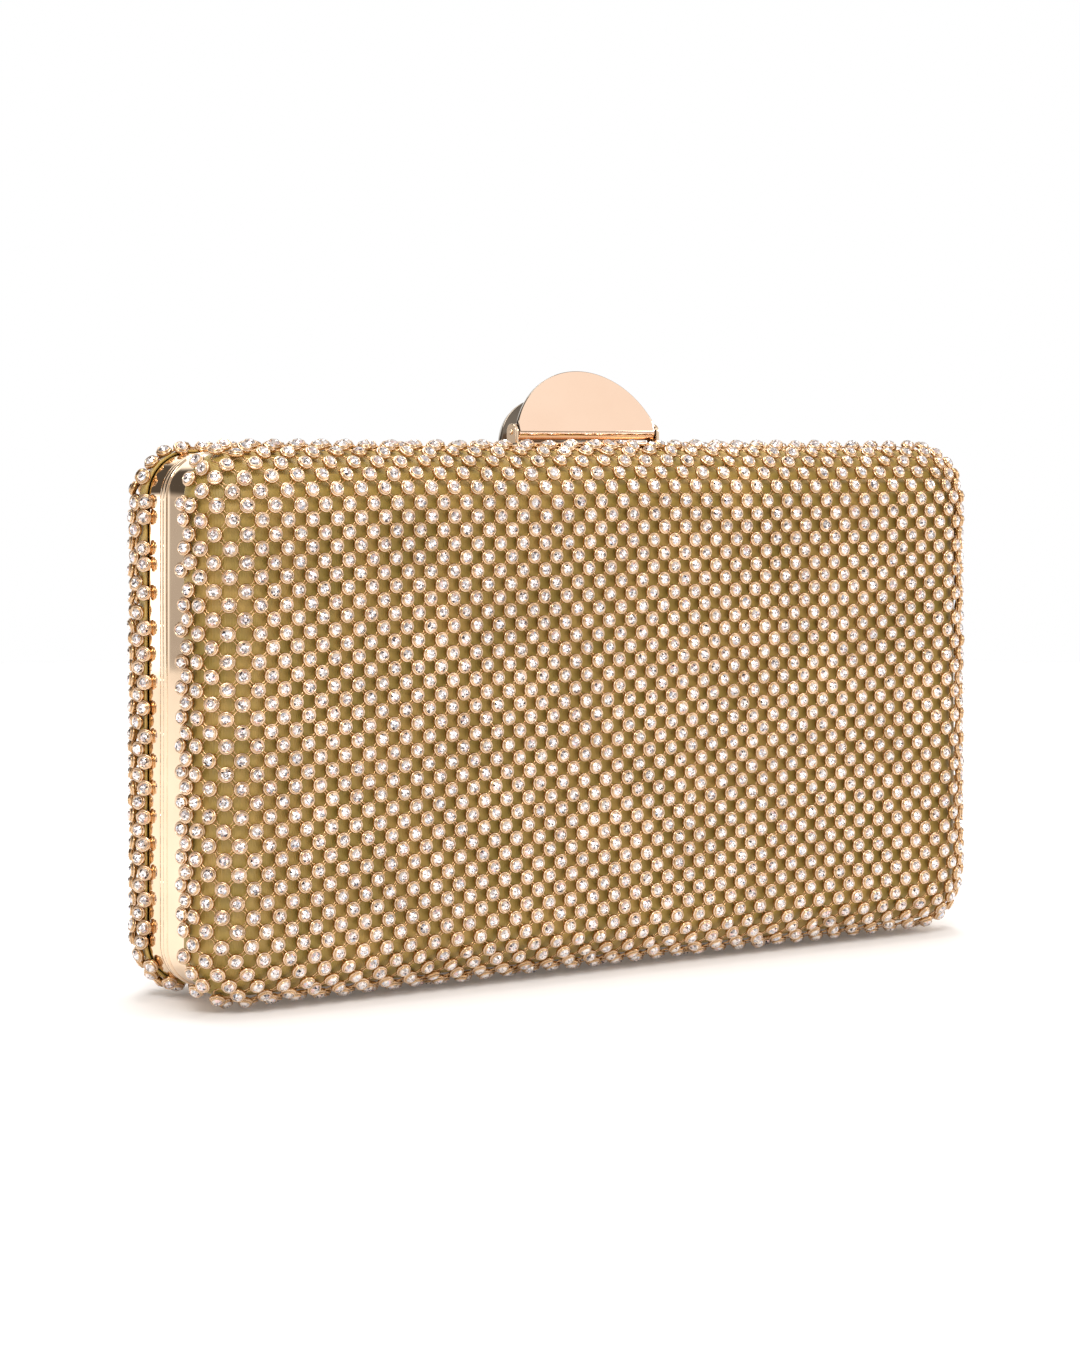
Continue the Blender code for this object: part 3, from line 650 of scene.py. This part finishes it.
# A stone: heights of its girdle, table, star and middle, and the radii of the first three
STONE_SIDES = 8
GIRDLE, TABLE, STAR, HEART = 1.08 * MM, 1.52 * MM, 1.49 * MM, 1.38 * MM
STONE_RADIUS, TABLE_RADIUS, STAR_RADIUS = 1.13 * MM, 0.66 * MM, 0.36 * MM
# Shares of the five facet looks on the crown and in the table; the grey, rose, blue and dark ones are
# painted reflections
CROWN_SHARES = (0.58, 0.15, 0.14, 0.08, 0.05)
TABLE_SHARES = (0.50, 0.18, 0.12, 0.08, 0.12)


def stone_template():
    """A brilliant seen from above: eight-sided girdle, sixteen crown facets, and a broken-up table."""
    ring, turned_ring = circle(STONE_SIDES), circle(STONE_SIDES, True)
    level = np.ones((STONE_SIDES, 1))
    points = np.concatenate([
        np.hstack([ring * STONE_RADIUS, level * GIRDLE]),
        np.hstack([turned_ring * TABLE_RADIUS, level * TABLE]),
        np.hstack([ring * STAR_RADIUS, level * STAR]),
        [[0, 0, HEART]],
    ])
    i = np.arange(STONE_SIDES)
    following = (i + 1) % STONE_SIDES
    table, star, heart = STONE_SIDES, 2 * STONE_SIDES, 3 * STONE_SIDES
    return points, np.concatenate([
        np.stack([i, following, table + i], -1),
        np.stack([following, table + following, table + i], -1),
        np.stack([table + i, star + following, star + i], -1),
        np.stack([table + i, table + following, star + following], -1),
        np.stack([star + i, star + following, 0 * i + heart], -1),
    ])


def facet_picks(count):
    """A look for each facet of each stone, as painted reflections picked at random: brighter round the
    crown, busier in the table.
    """
    looks = len(STONE_FACETS)
    crown = RNG.choice(looks, (count, 2 * STONE_SIDES), p=CROWN_SHARES)
    table = RNG.choice(looks, (count, 3 * STONE_SIDES), p=TABLE_SHARES)
    return np.concatenate([crown, table], 1).ravel()


def gap_axes(places, pairs):
    """Centre and two half axes of the gap between four cups, of which one may be missing."""
    whole = [(places[a] + places[b]) / 2 for a, b in pairs if a is not None and b is not None]
    centre = np.mean(whole, 0)
    axes = []
    for a, b in pairs:
        far = places[a] if a is not None else 2 * centre - places[b]
        near = places[b] if b is not None else 2 * centre - places[a]
        axes.append((far - near) / 2)
    return centre, axes


def link_rings(tray, columns, rows, places, normals):
    """A thin wire ring round each gap between four cups, drawn to the shape of that gap."""
    index = {(int(a), int(b)): i for i, (a, b) in enumerate(zip(columns, rows))}
    gaps = sorted({(a + step, b) for a, b in index for step in (-1, 1)})
    out_ring, wire_ring = circle(LINK_STEPS, True), circle(WIRE_STEPS, True)
    points, faces = [], []
    for u, v in gaps:
        across = (index.get((u + 1, v)), index.get((u - 1, v)))
        pairs = [across, (index.get((u, v - 1)), index.get((u, v + 1)))]
        known = [i for pair in pairs for i in pair if i is not None]
        if len(known) < 3:
            continue
        centre, axes = gap_axes(places, pairs)
        spans = [np.linalg.norm(axis) / HALF_STEP for axis in axes]
        on_the_hem = len(known) < 4 and tray.from_seam(centre[None])[0] < tray.hem + RING_HEM
        if min(spans) < LINK_SPANS[0] or max(spans) > LINK_SPANS[1] or on_the_hem:
            continue
        normal = normals[known].mean(0)
        normal /= np.linalg.norm(normal)
        out = out_ring @ np.array(axes) / HALF_STEP
        line = centre + out * LINK_RING_RADIUS + normal * LINK_HEIGHT
        wire = wire_ring[None, :, :1] * unit(out)[:, None] + wire_ring[None, :, 1:] * normal
        one, quads = swept(line[:, None] + LINK_WIRE_RADIUS * wire, closed=True)
        faces.append(quads + len(points) * len(one))
        points.append(one)
    return np.concatenate(points), np.concatenate(faces)


def stone_mesh(half):
    """The rhinestone mesh of one half: cups, stones and the wire links between them."""
    below_hem = 1.5 * MM
    tray = Tray(half, COVER_INSET, RIMS[half] - below_hem)
    tree = tray.tree()
    columns, rows, places = lattice(tray, tree, MESH_PHASE[half])
    places = ease_apart(tray, tree, places)[0]
    places = np.concatenate([places, fill_in(half, places)])
    places, normals = ease_apart(tray, tree, places)
    distance = tray.from_seam(places)
    tilt = np.where(distance < tray.face - 1 * MM, EDGE_TILT, FACE_TILT)[:, None]
    hem = np.clip(1 - (distance - tray.hem) / HEM_REACH, 0, 1)
    lift = LIFT - hem[:, None] * HEM_SINK[half]
    lifted = places + normals * (lift + RNG.uniform(-LIFT_SPREAD, LIFT_SPREAD, (len(places), 1)) * MM)
    axes = axes_of(normals - np.outer(hem * HEM_TILT[half], (0, 1, 0)), tilt)
    cup_points, cup_faces = copies(turned(CUP_PROFILE, CUP_STEPS), lifted, axes)
    # The shaded bands take the darker gold: painted shade
    shaded = np.tile(np.repeat(CUP_SHADED, CUP_STEPS), len(lifted))
    cups = mesh_object(f"{half}_stone_cups", cup_points, cup_faces, [CUP_GOLD, PAINTED_SHADE_LINK_GOLD], shaded)
    finish_piece(cups, f"{half}_half", "rhinestone_mesh", f"{half}_stone_mesh")
    stone_points, stone_faces = copies(stone_template(), lifted, axes)
    looks = facet_picks(len(lifted))
    stones = mesh_object(f"{half}_stones", stone_points, stone_faces, STONE_FACETS, looks)
    stones.data.shade_flat()
    finish_piece(stones, f"{half}_half", "rhinestone_mesh")
    ring_points, ring_faces = link_rings(tray, columns, rows, lifted, normals)
    links = mesh_object(f"{half}_stone_links", ring_points, ring_faces, [PAINTED_SHADE_LINK_GOLD])
    finish_piece(links, f"{half}_half", "rhinestone_mesh")


# ---- fabric layers

def ripple(points, size, depth, seed):
    """A smooth wander in space, for cloth that isn't perfectly flat."""
    generator = np.random.default_rng(seed)
    total = np.zeros(len(points))
    for _ in range(RIPPLE_WAVES):
        direction = generator.normal(0, 1, 3)
        direction *= 2 * np.pi / size / np.linalg.norm(direction)
        total += np.sin(points @ direction + generator.uniform(0, 2 * np.pi))
    return total * depth / RIPPLE_WAVES


def thicken(obj, thickness, offset):
    """Gives a sheet its thickness, as real faces on both sides and round its edge."""
    solid = obj.modifiers.new("Thickness", "SOLIDIFY")
    solid.thickness = thickness
    solid.offset = offset
    graph = bpy.context.evaluated_depsgraph_get()
    mesh = bpy.data.meshes.new_from_object(obj.evaluated_get(graph))
    obj.modifiers.clear()
    obj.data = mesh


def glued_sheet(name, tray, skin, look, thickness, slot_name, node):
    """A cloth on the shell, thickened inward."""
    obj = weld(mesh_object(name, *skin, [look]))
    thicken(obj, thickness, -1 if obj.data.polygons[-1].normal.y * tray.side > 0 else 1)
    finish_piece(obj, f"{tray.half}_half", slot_name, node)


def inward(points, tray, flatten=1.0):
    """The way from each point to the middle of the tray's rim, as unit steps."""
    way = tray.middle(tray.rim) - points
    way[:, 1] *= flatten
    return way / np.maximum(np.linalg.norm(way, axis=1), 1e-9)[:, None]


def satin_cover(half):
    tray = Tray(half, COVER_INSET, RIMS[half] - SATIN_REACH, SATIN_RUNS)
    points, quads = swept(tray.loops())
    depth = 0.08 * MM
    wander = ripple(points, 22 * MM, depth, SATIN_SEEDS[half]) + depth
    skin = points + inward(points, tray) * wander[:, None], quads
    node = f"{half}_satin_cover"
    glued_sheet(f"{half}_satin", tray, skin, SATIN, SATIN_THICKNESS, "olive_satin", node)


def turned_lining(half):
    """The lining, with its edge turned outward over the rim of the shell and a notch under the clasp."""
    tray = Tray(half, LINING_INSET, LINING_RIM, LINING_RUNS, LINING_STOPS)
    turn = [tray.outline(shrink * MM, distance * MM) for shrink, distance in LINING_TURN]
    points, quads = swept(turn + tray.loops())
    wander = ripple(points, 26 * MM, 0.10 * MM, 7) + 0.12 * MM
    wander[:len(turn) * len(turn[0])] *= 0.2
    points = points + inward(points, tray, 0.5) * wander[:, None]
    middles = points[quads].mean(1)
    notch = (np.abs(middles[:, 0]) < NOTCH_HALF_WIDTH) & (middles[:, 2] > NOTCH_FLOOR_Z)
    notch &= tray.from_seam(middles) < RIMS[half] - 0.9 * MM
    skin, name = (points, quads[~notch]), f"{half}_cloth_lining"
    glued_sheet(name, tray, skin, LINING, LINING_THICKNESS, "champagne_lining", f"{half}_lining")


def pocket_half_width(half_width, above_low):
    """Half the pocket's width at a height above its lower edge, inside its round lower corners."""
    rise = np.clip(POCKET_CORNER - above_low, 0, POCKET_CORNER)
    return half_width - POCKET_CORNER + np.sqrt(POCKET_CORNER ** 2 - rise ** 2)


def slip_pocket():
    """The pocket on the back lining: one ply of satin with a turned hem and a row of stitches all round."""
    low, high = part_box("slip_pocket")
    across = np.linspace(-1, 1, POCKET_COLUMNS)
    up = np.concatenate([
        np.linspace(low.z, high.z - POCKET_HEM, 40),
        np.linspace(high.z - POCKET_HEM + 0.2 * MM, high.z, 9),
    ])
    rows = []
    for z in up:
        reach = pocket_half_width(high.x, z - low.z)
        share = (z - low.z) / (high.z - low.z)
        slack = POCKET_SLACK * share ** 3 * (1 - across ** 2)
        hem = 0.3 * MM if z > high.z - POCKET_HEM else 0.0
        y = high.y - 0.35 * MM - hem - slack
        rows.append(np.column_stack([across * reach, y, np.full(POCKET_COLUMNS, z)]))
    points, quads = swept(rows, around=False)
    points[:, 1] += ripple(points, 18 * MM, 0.12 * MM, 5)
    cloth = weld(mesh_object("slip_pocket_cloth", points, quads, [LINING]))
    thicken(cloth, 0.4 * MM, 0)
    finish_piece(cloth, "back_half", "champagne_lining", "slip_pocket")
    top, bottom = high.z - POCKET_HEM + 0.6 * MM, low.z + STITCH_INSET
    line = [(x, top) for x in np.arange(low.x + 4 * MM, high.x - 3 * MM, STITCH_PITCH)]
    line += [(x, bottom) for x in np.arange(low.x + 6 * MM, high.x - 5 * MM, STITCH_PITCH)]
    across_count = len(line)
    for x in (STITCH_INSET - high.x, high.x - STITCH_INSET):
        line += [(x, z) for z in np.arange(low.z + 7 * MM, high.z - 1 * MM, STITCH_PITCH)]
    tree = search_tree(points, quads)
    centres = []
    for x, z in line:
        spot = tree.ray_cast(Vector((x, SEAM_Y, z)), Vector((0, 1, 0)))[0]
        centres.append((x, (spot.y if spot else high.y - 0.4 * MM) - 0.22 * MM, z))
    turns = np.linspace(0.05, math.pi - 0.05, 9)
    thread = [(STITCH_RADIUS * math.sin(a), -STITCH_LENGTH / 2 * math.cos(a)) for a in turns]
    sideways = np.array([[0, 0, 1.0], [0, 1.0, 0], [1.0, 0, 0]])
    upright = np.eye(3)
    axes = np.array([sideways if i < across_count else upright for i in range(len(line))])
    stitch_points, stitch_faces = copies(turned(thread, 8), np.array(centres), axes)
    stitches = mesh_object("slip_pocket_stitches", stitch_points, stitch_faces, [THREAD])
    finish_piece(stitches, "back_half", "champagne_lining")


# ---- frames

def frame_section(bead, rim, below_bead):
    """The plated band in section, as (inset, distance from the seam), round the whole profile."""
    inner, lip, lip_width, gap = 4.0 * MM, 4.8 * MM, 1.35 * MM, 0.15 * MM
    band = bead + below_bead[0]
    curl, width = 0.4 * MM, 1.6 * MM
    section = []
    for turn in np.linspace(0, np.pi / 2, 5):
        section.append((bead + curl * (1 - math.sin(turn)), gap + curl * (1 - math.cos(turn))))
    section.append((bead - 0.03 * MM, (gap + width) / 2))
    for turn in np.linspace(0, np.pi / 2, 4):
        section.append((bead + 0.3 * MM * (1 - math.cos(turn)), width - 0.3 * MM * (1 - math.sin(turn))))
    section.append((band + 0.12 * MM, width + 0.12 * MM))
    section.append((band + 0.02 * MM, width + 0.3 * MM))
    taper = below_bead[1] - below_bead[0]
    for share in np.linspace(0, 1, 8):
        crown = 0.03 * MM * math.sin(math.pi * share)
        section.append((band - crown + taper * share, width + 0.5 * MM + share * (rim - width - 1.0 * MM)))
    for turn in np.linspace(0, np.pi / 2, 4)[1:]:
        curl_in = band + taper + 0.22 * MM * (1 - math.cos(turn))
        section.append((curl_in, rim - 0.5 * MM * (1 - math.sin(turn))))
    section += [(inner, rim), (inner, lip_width), (lip, lip_width), (lip, gap)]
    return section


def frame_piece(half):
    """The mirror band of one half, with the faint waves that real plating has."""
    low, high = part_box(f"{half}_frame")
    bead = HALF_WIDTH - high.x
    rim = max(abs(low.y - SEAM_Y), abs(high.y - SEAM_Y))
    loops = []
    for inset, distance in frame_section(bead, rim, BAND_BELOW_BEAD[half]):
        flat = rounded(HALF_WIDTH - inset, HALF_HEIGHT - inset, CORNER_RADIUS - inset, 20, (30, 48))
        y = SEAM_Y + SIDES[half] * distance
        loops.append(np.stack([flat[:, 0], np.full(len(flat), y), MIDDLE_Z + flat[:, 1]], -1))
    points, quads = swept(loops, closed=True)
    wander = ripple(points * (1.0, 0.4, 1.0), 45 * MM, 0.06 * MM, 3)
    out = points - (0, SEAM_Y, MIDDLE_Z)
    out[:, 1] = 0
    points = points - unit(out) * (wander + 0.06 * MM)[:, None]
    band = sharpen(weld(mesh_object(f"{half}_gold_frame", points, quads, [GOLD])), 40)
    finish_piece(band, f"{half}_half", "gold_plate", f"{half}_frame")


# ---- clasp

def arc(centre, radius, start, end, steps):
    angles = np.linspace(start, end, steps + 1)
    return np.array(centre) + radius * np.stack([np.cos(angles), np.sin(angles)], -1)


def tube_profile(radius, half_length, bevel):
    """A round bar's (radius, height) profile, closed on its axis, with rounded ends."""
    turns = np.linspace(0, np.pi / 2, 5)
    end = [(radius - bevel * (1 - math.cos(a)), half_length - bevel * (1 - math.sin(a))) for a in turns]
    upper = [(0.0, half_length), (0.6 * (radius - bevel), half_length)] + end[::-1]
    return upper + [(r, -h) for r, h in reversed(upper)]


def clasp():
    """The press plate and barrel of the lever, and the base they stand on."""
    axis = Matrix.Translation((0, CLASP_Y, CLASP_Z))
    profile = tube_profile(BARREL_RADIUS, BARREL_HALF_LENGTH, 0.3 * MM)
    barrel = solid_turned("press_barrel", profile, 48, ROSE_GOLD, axis @ ALONG_X)
    start = math.acos(BARREL_HALF_LENGTH / PLATE_RADIUS)
    end, ease = BARREL_HALF_LENGTH, 0.3 * MM
    outline = np.concatenate([
        [(-end, ease - PLATE_FOOT), (ease - end, -PLATE_FOOT)],
        [(end - ease, -PLATE_FOOT), (end, ease - PLATE_FOOT)],
        arc((0, -PLATE_CENTRE_BELOW_AXIS), PLATE_RADIUS, start, math.pi - start, 72),
    ])
    upright = Matrix.Rotation(math.pi / 2 - PLATE_LEAN, 4, "X")
    upright = upright @ Matrix.Translation((0, 0, PLATE_IN_FRONT))
    plate = slab("press_plate", outline, PLATE_THICKNESS, 0.22 * MM, ROSE_GOLD, axis @ upright)
    # The plate's rim faces, those not facing the front, get the dark gold as painted shade
    plate.data.materials.append(PAINTED_SHADE_GOLD)
    facing = upright.to_3x3() @ Vector((0, 0, 1))
    flat_enough = 0.9
    for polygon in plate.data.polygons:
        polygon.material_index = int(abs(polygon.normal.dot(facing)) < flat_enough)
    finish_piece(plate, "clasp_lever", "rose_gold_plate", "clasp_lever")
    finish_piece(barrel, "clasp_lever", "rose_gold_plate")
    low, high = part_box("clasp_base")
    base_top = low.z + CLASP_FOOT_THICKNESS
    base = rounded_box("clasp_foot", low, (high.x, high.y, base_top), 0.25 * MM, GOLD)
    knuckles = []
    width = CLASP_HALF_LENGTH - BARREL_HALF_LENGTH - 0.3 * MM
    sunk = base_top - CLASP_Z - 0.3 * MM
    side_view = np.concatenate([
        [(-BARREL_RADIUS, sunk), (BARREL_RADIUS, sunk)],
        arc((0, 0), BARREL_RADIUS, 0, math.pi, 24),
    ])
    for sign in (-1, 1):
        spot = Matrix.Translation((sign * (CLASP_HALF_LENGTH - width / 2), CLASP_Y, CLASP_Z))
        turn = Matrix.Rotation(math.pi / 2, 4, "Z") @ Matrix.Rotation(math.pi / 2, 4, "X")
        knuckles.append(slab(f"clasp_knuckle_{sign}", side_view, width, 0.12 * MM, GOLD, spot @ turn))
    foot_piece = sharpen(join("clasp_foot_and_knuckles", [base, *knuckles]))
    finish_piece(foot_piece, "front_half", "gold_plate", "clasp_base")
    pin_low, pin_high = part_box("clasp_pin")
    profile = tube_profile((pin_high.z - pin_low.z) / 2, pin_high.x, 0.25 * MM)
    pin = solid_turned("clasp_pin_rod", profile, 24, GOLD, axis @ ALONG_X)
    finish_piece(pin, "front_half", "gold_plate", "clasp_pin")


def rear_lug():
    """The fixed half-disc on the back frame, leaning back, and its foot along the frame."""
    low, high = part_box("rear_lug")
    start = math.asin((LUG_FOOT_THICKNESS / 2 + LUG_CENTRE_BELOW_FOOT) / LUG_RADIUS)
    outline = arc((0, -LUG_CENTRE_BELOW_FOOT), LUG_RADIUS, start, math.pi - start, 72)
    spot = Matrix.Translation((0, SEAM_Y + LUG_DISTANCE, low.z))
    lean = Matrix.Rotation(math.pi / 2 - LUG_LEAN, 4, "X")
    # The half-disc wears the dark gold as painted shade
    disc = slab("lug_disc", outline, LUG_THICKNESS, 0.3 * MM, PAINTED_SHADE_GOLD, spot @ lean)
    near = (low.x + 0.3 * MM, SEAM_Y + LUG_FOOT_NEAR, low.z)
    far = (high.x - 0.3 * MM, SEAM_Y + RIMS["back"] - 0.65 * MM, low.z + LUG_FOOT_THICKNESS)
    foot = rounded_box("lug_foot", near, far, 0.25 * MM, GOLD)
    lug = sharpen(join("rear_half_disc", [disc, foot]), 50)
    finish_piece(lug, "back_half", "gold_plate", "rear_lug")


# ---- case hinges

def sleeve(outer, inner, half_length, bevel):
    """A tube's (radius, height) profile, round its whole wall, with rounded ends."""
    return [
        (inner, -half_length), (outer - bevel, -half_length), (outer, bevel - half_length),
        (outer, half_length - bevel), (outer - bevel, half_length), (inner, half_length),
        (inner, -half_length),
    ]


def tube_piece(name, profile, steps, spot):
    """A closed turned profile laid along X at a spot."""
    obj = weld(mesh_object(name, *turned(profile, steps), [GOLD]))
    obj.data.transform(Matrix.Translation(spot) @ ALONG_X)
    return obj


def rivet_head(x, y, top):
    """A low dome under the leaf, with its shank going up into the frame."""
    turns = np.linspace(0, math.pi / 2, 7)
    dome = [(RIVET_HEAD_RADIUS * math.sin(a), top - RIVET_HEAD_HEIGHT * math.cos(a)) for a in turns]
    end = top + RIVET_SHANK_LENGTH
    shank = [(RIVET_SHANK_RADIUS, top), (RIVET_SHANK_RADIUS, end), (0.0, end)]
    rivet = weld(mesh_object("rivet", *turned(dome + shank, 24), [GOLD]))
    rivet.data.transform(Matrix.Translation((x, y, 0)))
    return rivet


def leaf_plate(outline, place, low):
    """The leaf: its outline about the hinge's middle, made thick and bevelled."""
    mesh = bpy.data.meshes.new("leaf")
    bm = bmesh.new()
    face = bm.faces.new([bm.verts.new((place + x, SEAM_Y + y, low)) for x, y in outline])
    grown = bmesh.ops.extrude_face_region(bm, geom=[face])
    for item in grown["geom"]:
        if isinstance(item, bmesh.types.BMVert):
            item.co.z += LEAF_THICKNESS
    bmesh.ops.recalc_face_normals(bm, faces=bm.faces)
    bmesh.ops.bevel(bm, geom=bm.edges[:], offset=0.12 * MM, segments=3, affect="EDGES")
    bm.to_mesh(mesh)
    bm.free()
    mesh.materials.append(GOLD)
    return new_object("leaf", mesh)


def hinge_side(place, half):
    """One leaf of a hinge with its knuckles and rivets, and on the front half also the pin."""
    side = SIDES[half]
    label = "left" if place < 0 else "right"
    leaf_node = f"hinge_{label}_{half}_leaf"
    pin_low, pin_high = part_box(f"hinge_{label}_pin")
    axis_z, pin_radius = (pin_low.z + pin_high.z) / 2, (pin_high.z - pin_low.z) / 2
    radius = axis_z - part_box(leaf_node)[0].z
    outer, cleared = HINGE_HALF_LENGTH, radius + HINGE_GAP
    if half == "front":
        inner, ends, between = MIDDLE_KNUCKLE + HINGE_GAP, LEAF_ROOT, cleared
        spans = ((-outer, -inner), (inner, outer))
    else:
        inner, ends, between = MIDDLE_KNUCKLE, cleared, LEAF_ROOT
        spans = ((-inner, inner),)
    outline = [
        (-outer, ends), (-inner, ends), (-inner, between), (inner, between), (inner, ends), (outer, ends),
        (outer - HINGE_GAP, LEAF_LENGTH), (HINGE_GAP - outer, LEAF_LENGTH),
    ]
    outline = [(x, side * y) for x, y in outline]
    if side < 0:
        outline.reverse()
    leaf_low = axis_z - 0.05 * MM
    parts = [leaf_plate(outline, place, leaf_low)]
    for start, end in spans:
        spot = (place + (start + end) / 2, SEAM_Y, axis_z)
        profile = sleeve(radius, 0.6 * MM, (end - start) / 2, 0.12 * MM)
        parts.append(tube_piece("knuckle", profile, 32, spot))
    for sign in (-1, 1):
        x, y = place + sign * RIVET_OFFSET, SEAM_Y + side * RIVET_DISTANCE
        parts.append(rivet_head(x, y, leaf_low))
    replaced = [leaf_node, f"hinge_{label}_{half}_rivet_1", f"hinge_{label}_{half}_rivet_2"]
    if half == "front":
        reach = tube_profile(pin_radius, pin_high.x - place, 0.2 * MM)
        parts.append(tube_piece("pin", reach, 24, (place, SEAM_Y, axis_z)))
        replaced.append(f"hinge_{label}_pin")
    obj = sharpen(join(f"{half}_{label}_hinge_half", parts), 45)
    for polygon in obj.data.polygons:
        polygon.use_smooth = True
    finish_piece(obj, f"{half}_half", "gold_plate", *replaced)


# ---- build

for half_name in SIDES:
    stone_mesh(half_name)
    satin_cover(half_name)
    turned_lining(half_name)
    frame_piece(half_name)
    for hinge_x in HINGE_X:
        hinge_side(hinge_x, half_name)
clasp()
rear_lug()
slip_pocket()

# CAD nodes that show as they are, by how their names start
KEPT_LOOKS = {"clasp": STEEL, "lug_screw": STEEL, "keeper": STEEL, "front_shell": BOARD, "back_shell": BOARD}
for node_name, node in frame["nodes"].items():
    for start, look in KEPT_LOOKS.items():
        if node_name.startswith(start):
            node.data.materials.clear()
            node.data.materials.append(look)


# ---- studio

FLOOR_RADII = (0, 0.3, 0.6, 0.95)
FLOOR_DROP = 0.05 * MM

# Lamps, all pointed at the bag: name, place, size, power and colour
LAMPS = (
    ("key", (-0.9, -1.1, 1.3), 0.7, 15, (1.0, 0.99, 0.97)),
    ("fill", (1.3, -1.0, 0.7), 0.6, 5.0, (1.0, 0.97, 0.95)),
    ("top", (0.1, 0.2, 1.5), 0.8, 12, (1.0, 1.0, 1.0)),
)
LAMP_TARGET = Vector((0, 0, 0.05))

# Camera, fitted to the photo's view: lens, shift, place, and turn about the vertical
CAMERA_LENS, CAMERA_SHIFT = 79.28, -0.1674
CAMERA_PLACE = (-370.4 * MM, SEAM_Y - 544.5 * MM, 113.0 * MM)
CAMERA_TURN = -33.7


def zone(tree, under, direction, start, end, colour):
    """A soft round patch of the surroundings: this colour where the direction's cosine passes end."""
    place = tree.nodes.new("ShaderNodeTexCoord").outputs["Generated"]
    towards = {1: Vector(direction).normalized()}
    cosine = add_node(tree, "ShaderNodeVectorMath", towards, {0: place}, operation="DOT_PRODUCT")
    limits, value = {"From Min": start, "From Max": end}, {"Value": cosine.outputs["Value"]}
    share = add_node(tree, "ShaderNodeMapRange", limits, value, interpolation_type="SMOOTHSTEP")
    return mixed(tree, share.outputs["Result"], under, colour)


def mixed(tree, factor, under, colour):
    """A colour laid over another by a factor; a colour mix has its colours on sockets 6 and 7."""
    sockets = {0: factor, 6: under}
    return add_node(tree, "ShaderNodeMix", {7: (*colour, 1)}, sockets, data_type="RGBA").outputs[2]


# Surroundings that the metal reflects: direction, cosines of a patch's rim and full part, brightness
ZONES = (
    ((0, 0, -1), -0.03, 0.01, (0.55, 0.52, 0.50)),
    ((0.0, -1.0, 0.05), 0.80, 0.97, (0.42, 0.39, 0.37)),
    ((0.62, -0.62, 0.50), 0.80, 0.92, (1.02, 1.0, 0.98)),
    ((-0.25, 0.97, 0.0), 0.962, 0.985, (1.25, 1.25, 1.25)),
    ((-0.80, 0.60, 0.0), 0.950, 0.970, (2.4, 2.4, 2.5)),
    ((0.15, 0.90, 0.42), 0.93, 0.97, (1.7, 1.7, 1.65)),
    ((-0.55, 0.72, 0.52), 0.86, 0.93, (0.10, 0.09, 0.08)),
)
SURROUND = (0.68, 0.63, 0.59)


def studio():
    """A pale round table, surroundings of soft bright and dark patches, and soft lamps."""
    floor = weld(mesh_object("floor", *turned([(radius, 0) for radius in FLOOR_RADII], 96), []))
    floor.location.z = -FLOOR_DROP
    look = Nodes("pale_floor")
    look.put("Base Color", look.ramp(look.noise(2.0), (0.93, 0.925, 0.93), (0.95, 0.95, 0.95)))
    look.put("Roughness", 0.85)
    look.put("Specular IOR Level", 0.2)
    look.put("Emission Color", (1.0, 0.99, 0.98))
    look.put("Emission Strength", 0.08)
    floor.data.materials.append(look.material)
    world = bpy.data.worlds.new("studio")
    bpy.context.scene.world = world
    world.use_nodes = True
    tree = world.node_tree
    base = tree.nodes.new("ShaderNodeRGB").outputs["Color"]
    base.default_value = (*SURROUND, 1)
    for patch in ZONES:
        base = zone(tree, base, *patch)
    seen = tree.nodes.new("ShaderNodeLightPath").outputs["Is Camera Ray"]
    base = mixed(tree, seen, base, (1.0, 1.0, 1.0))
    background = tree.nodes["Background"]
    tree.links.new(base, background.inputs["Color"])
    background.inputs["Strength"].default_value = 1.0
    for name, place, size, energy, colour in LAMPS:
        light = bpy.data.lights.new(name, "AREA")
        light.shape, light.size, light.energy, light.color = "DISK", size, energy, colour
        lamp = new_object(name, light)
        lamp.location = place
        lamp.rotation_mode = "QUATERNION"
        lamp.rotation_quaternion = (Vector(place) - LAMP_TARGET).to_track_quat("Z", "Y")
    bpy.context.scene.view_settings.view_transform = "Standard"


studio()

camera_data = bpy.data.cameras.new("camera")
camera_data.lens = CAMERA_LENS
camera_data.sensor_width = 36.0
camera_data.shift_y = CAMERA_SHIFT
camera_data.clip_start = 0.01
camera = new_object("camera", camera_data)
camera.location = CAMERA_PLACE
camera.rotation_euler = (math.radians(90), 0, math.radians(CAMERA_TURN))
bpy.context.scene.camera = camera
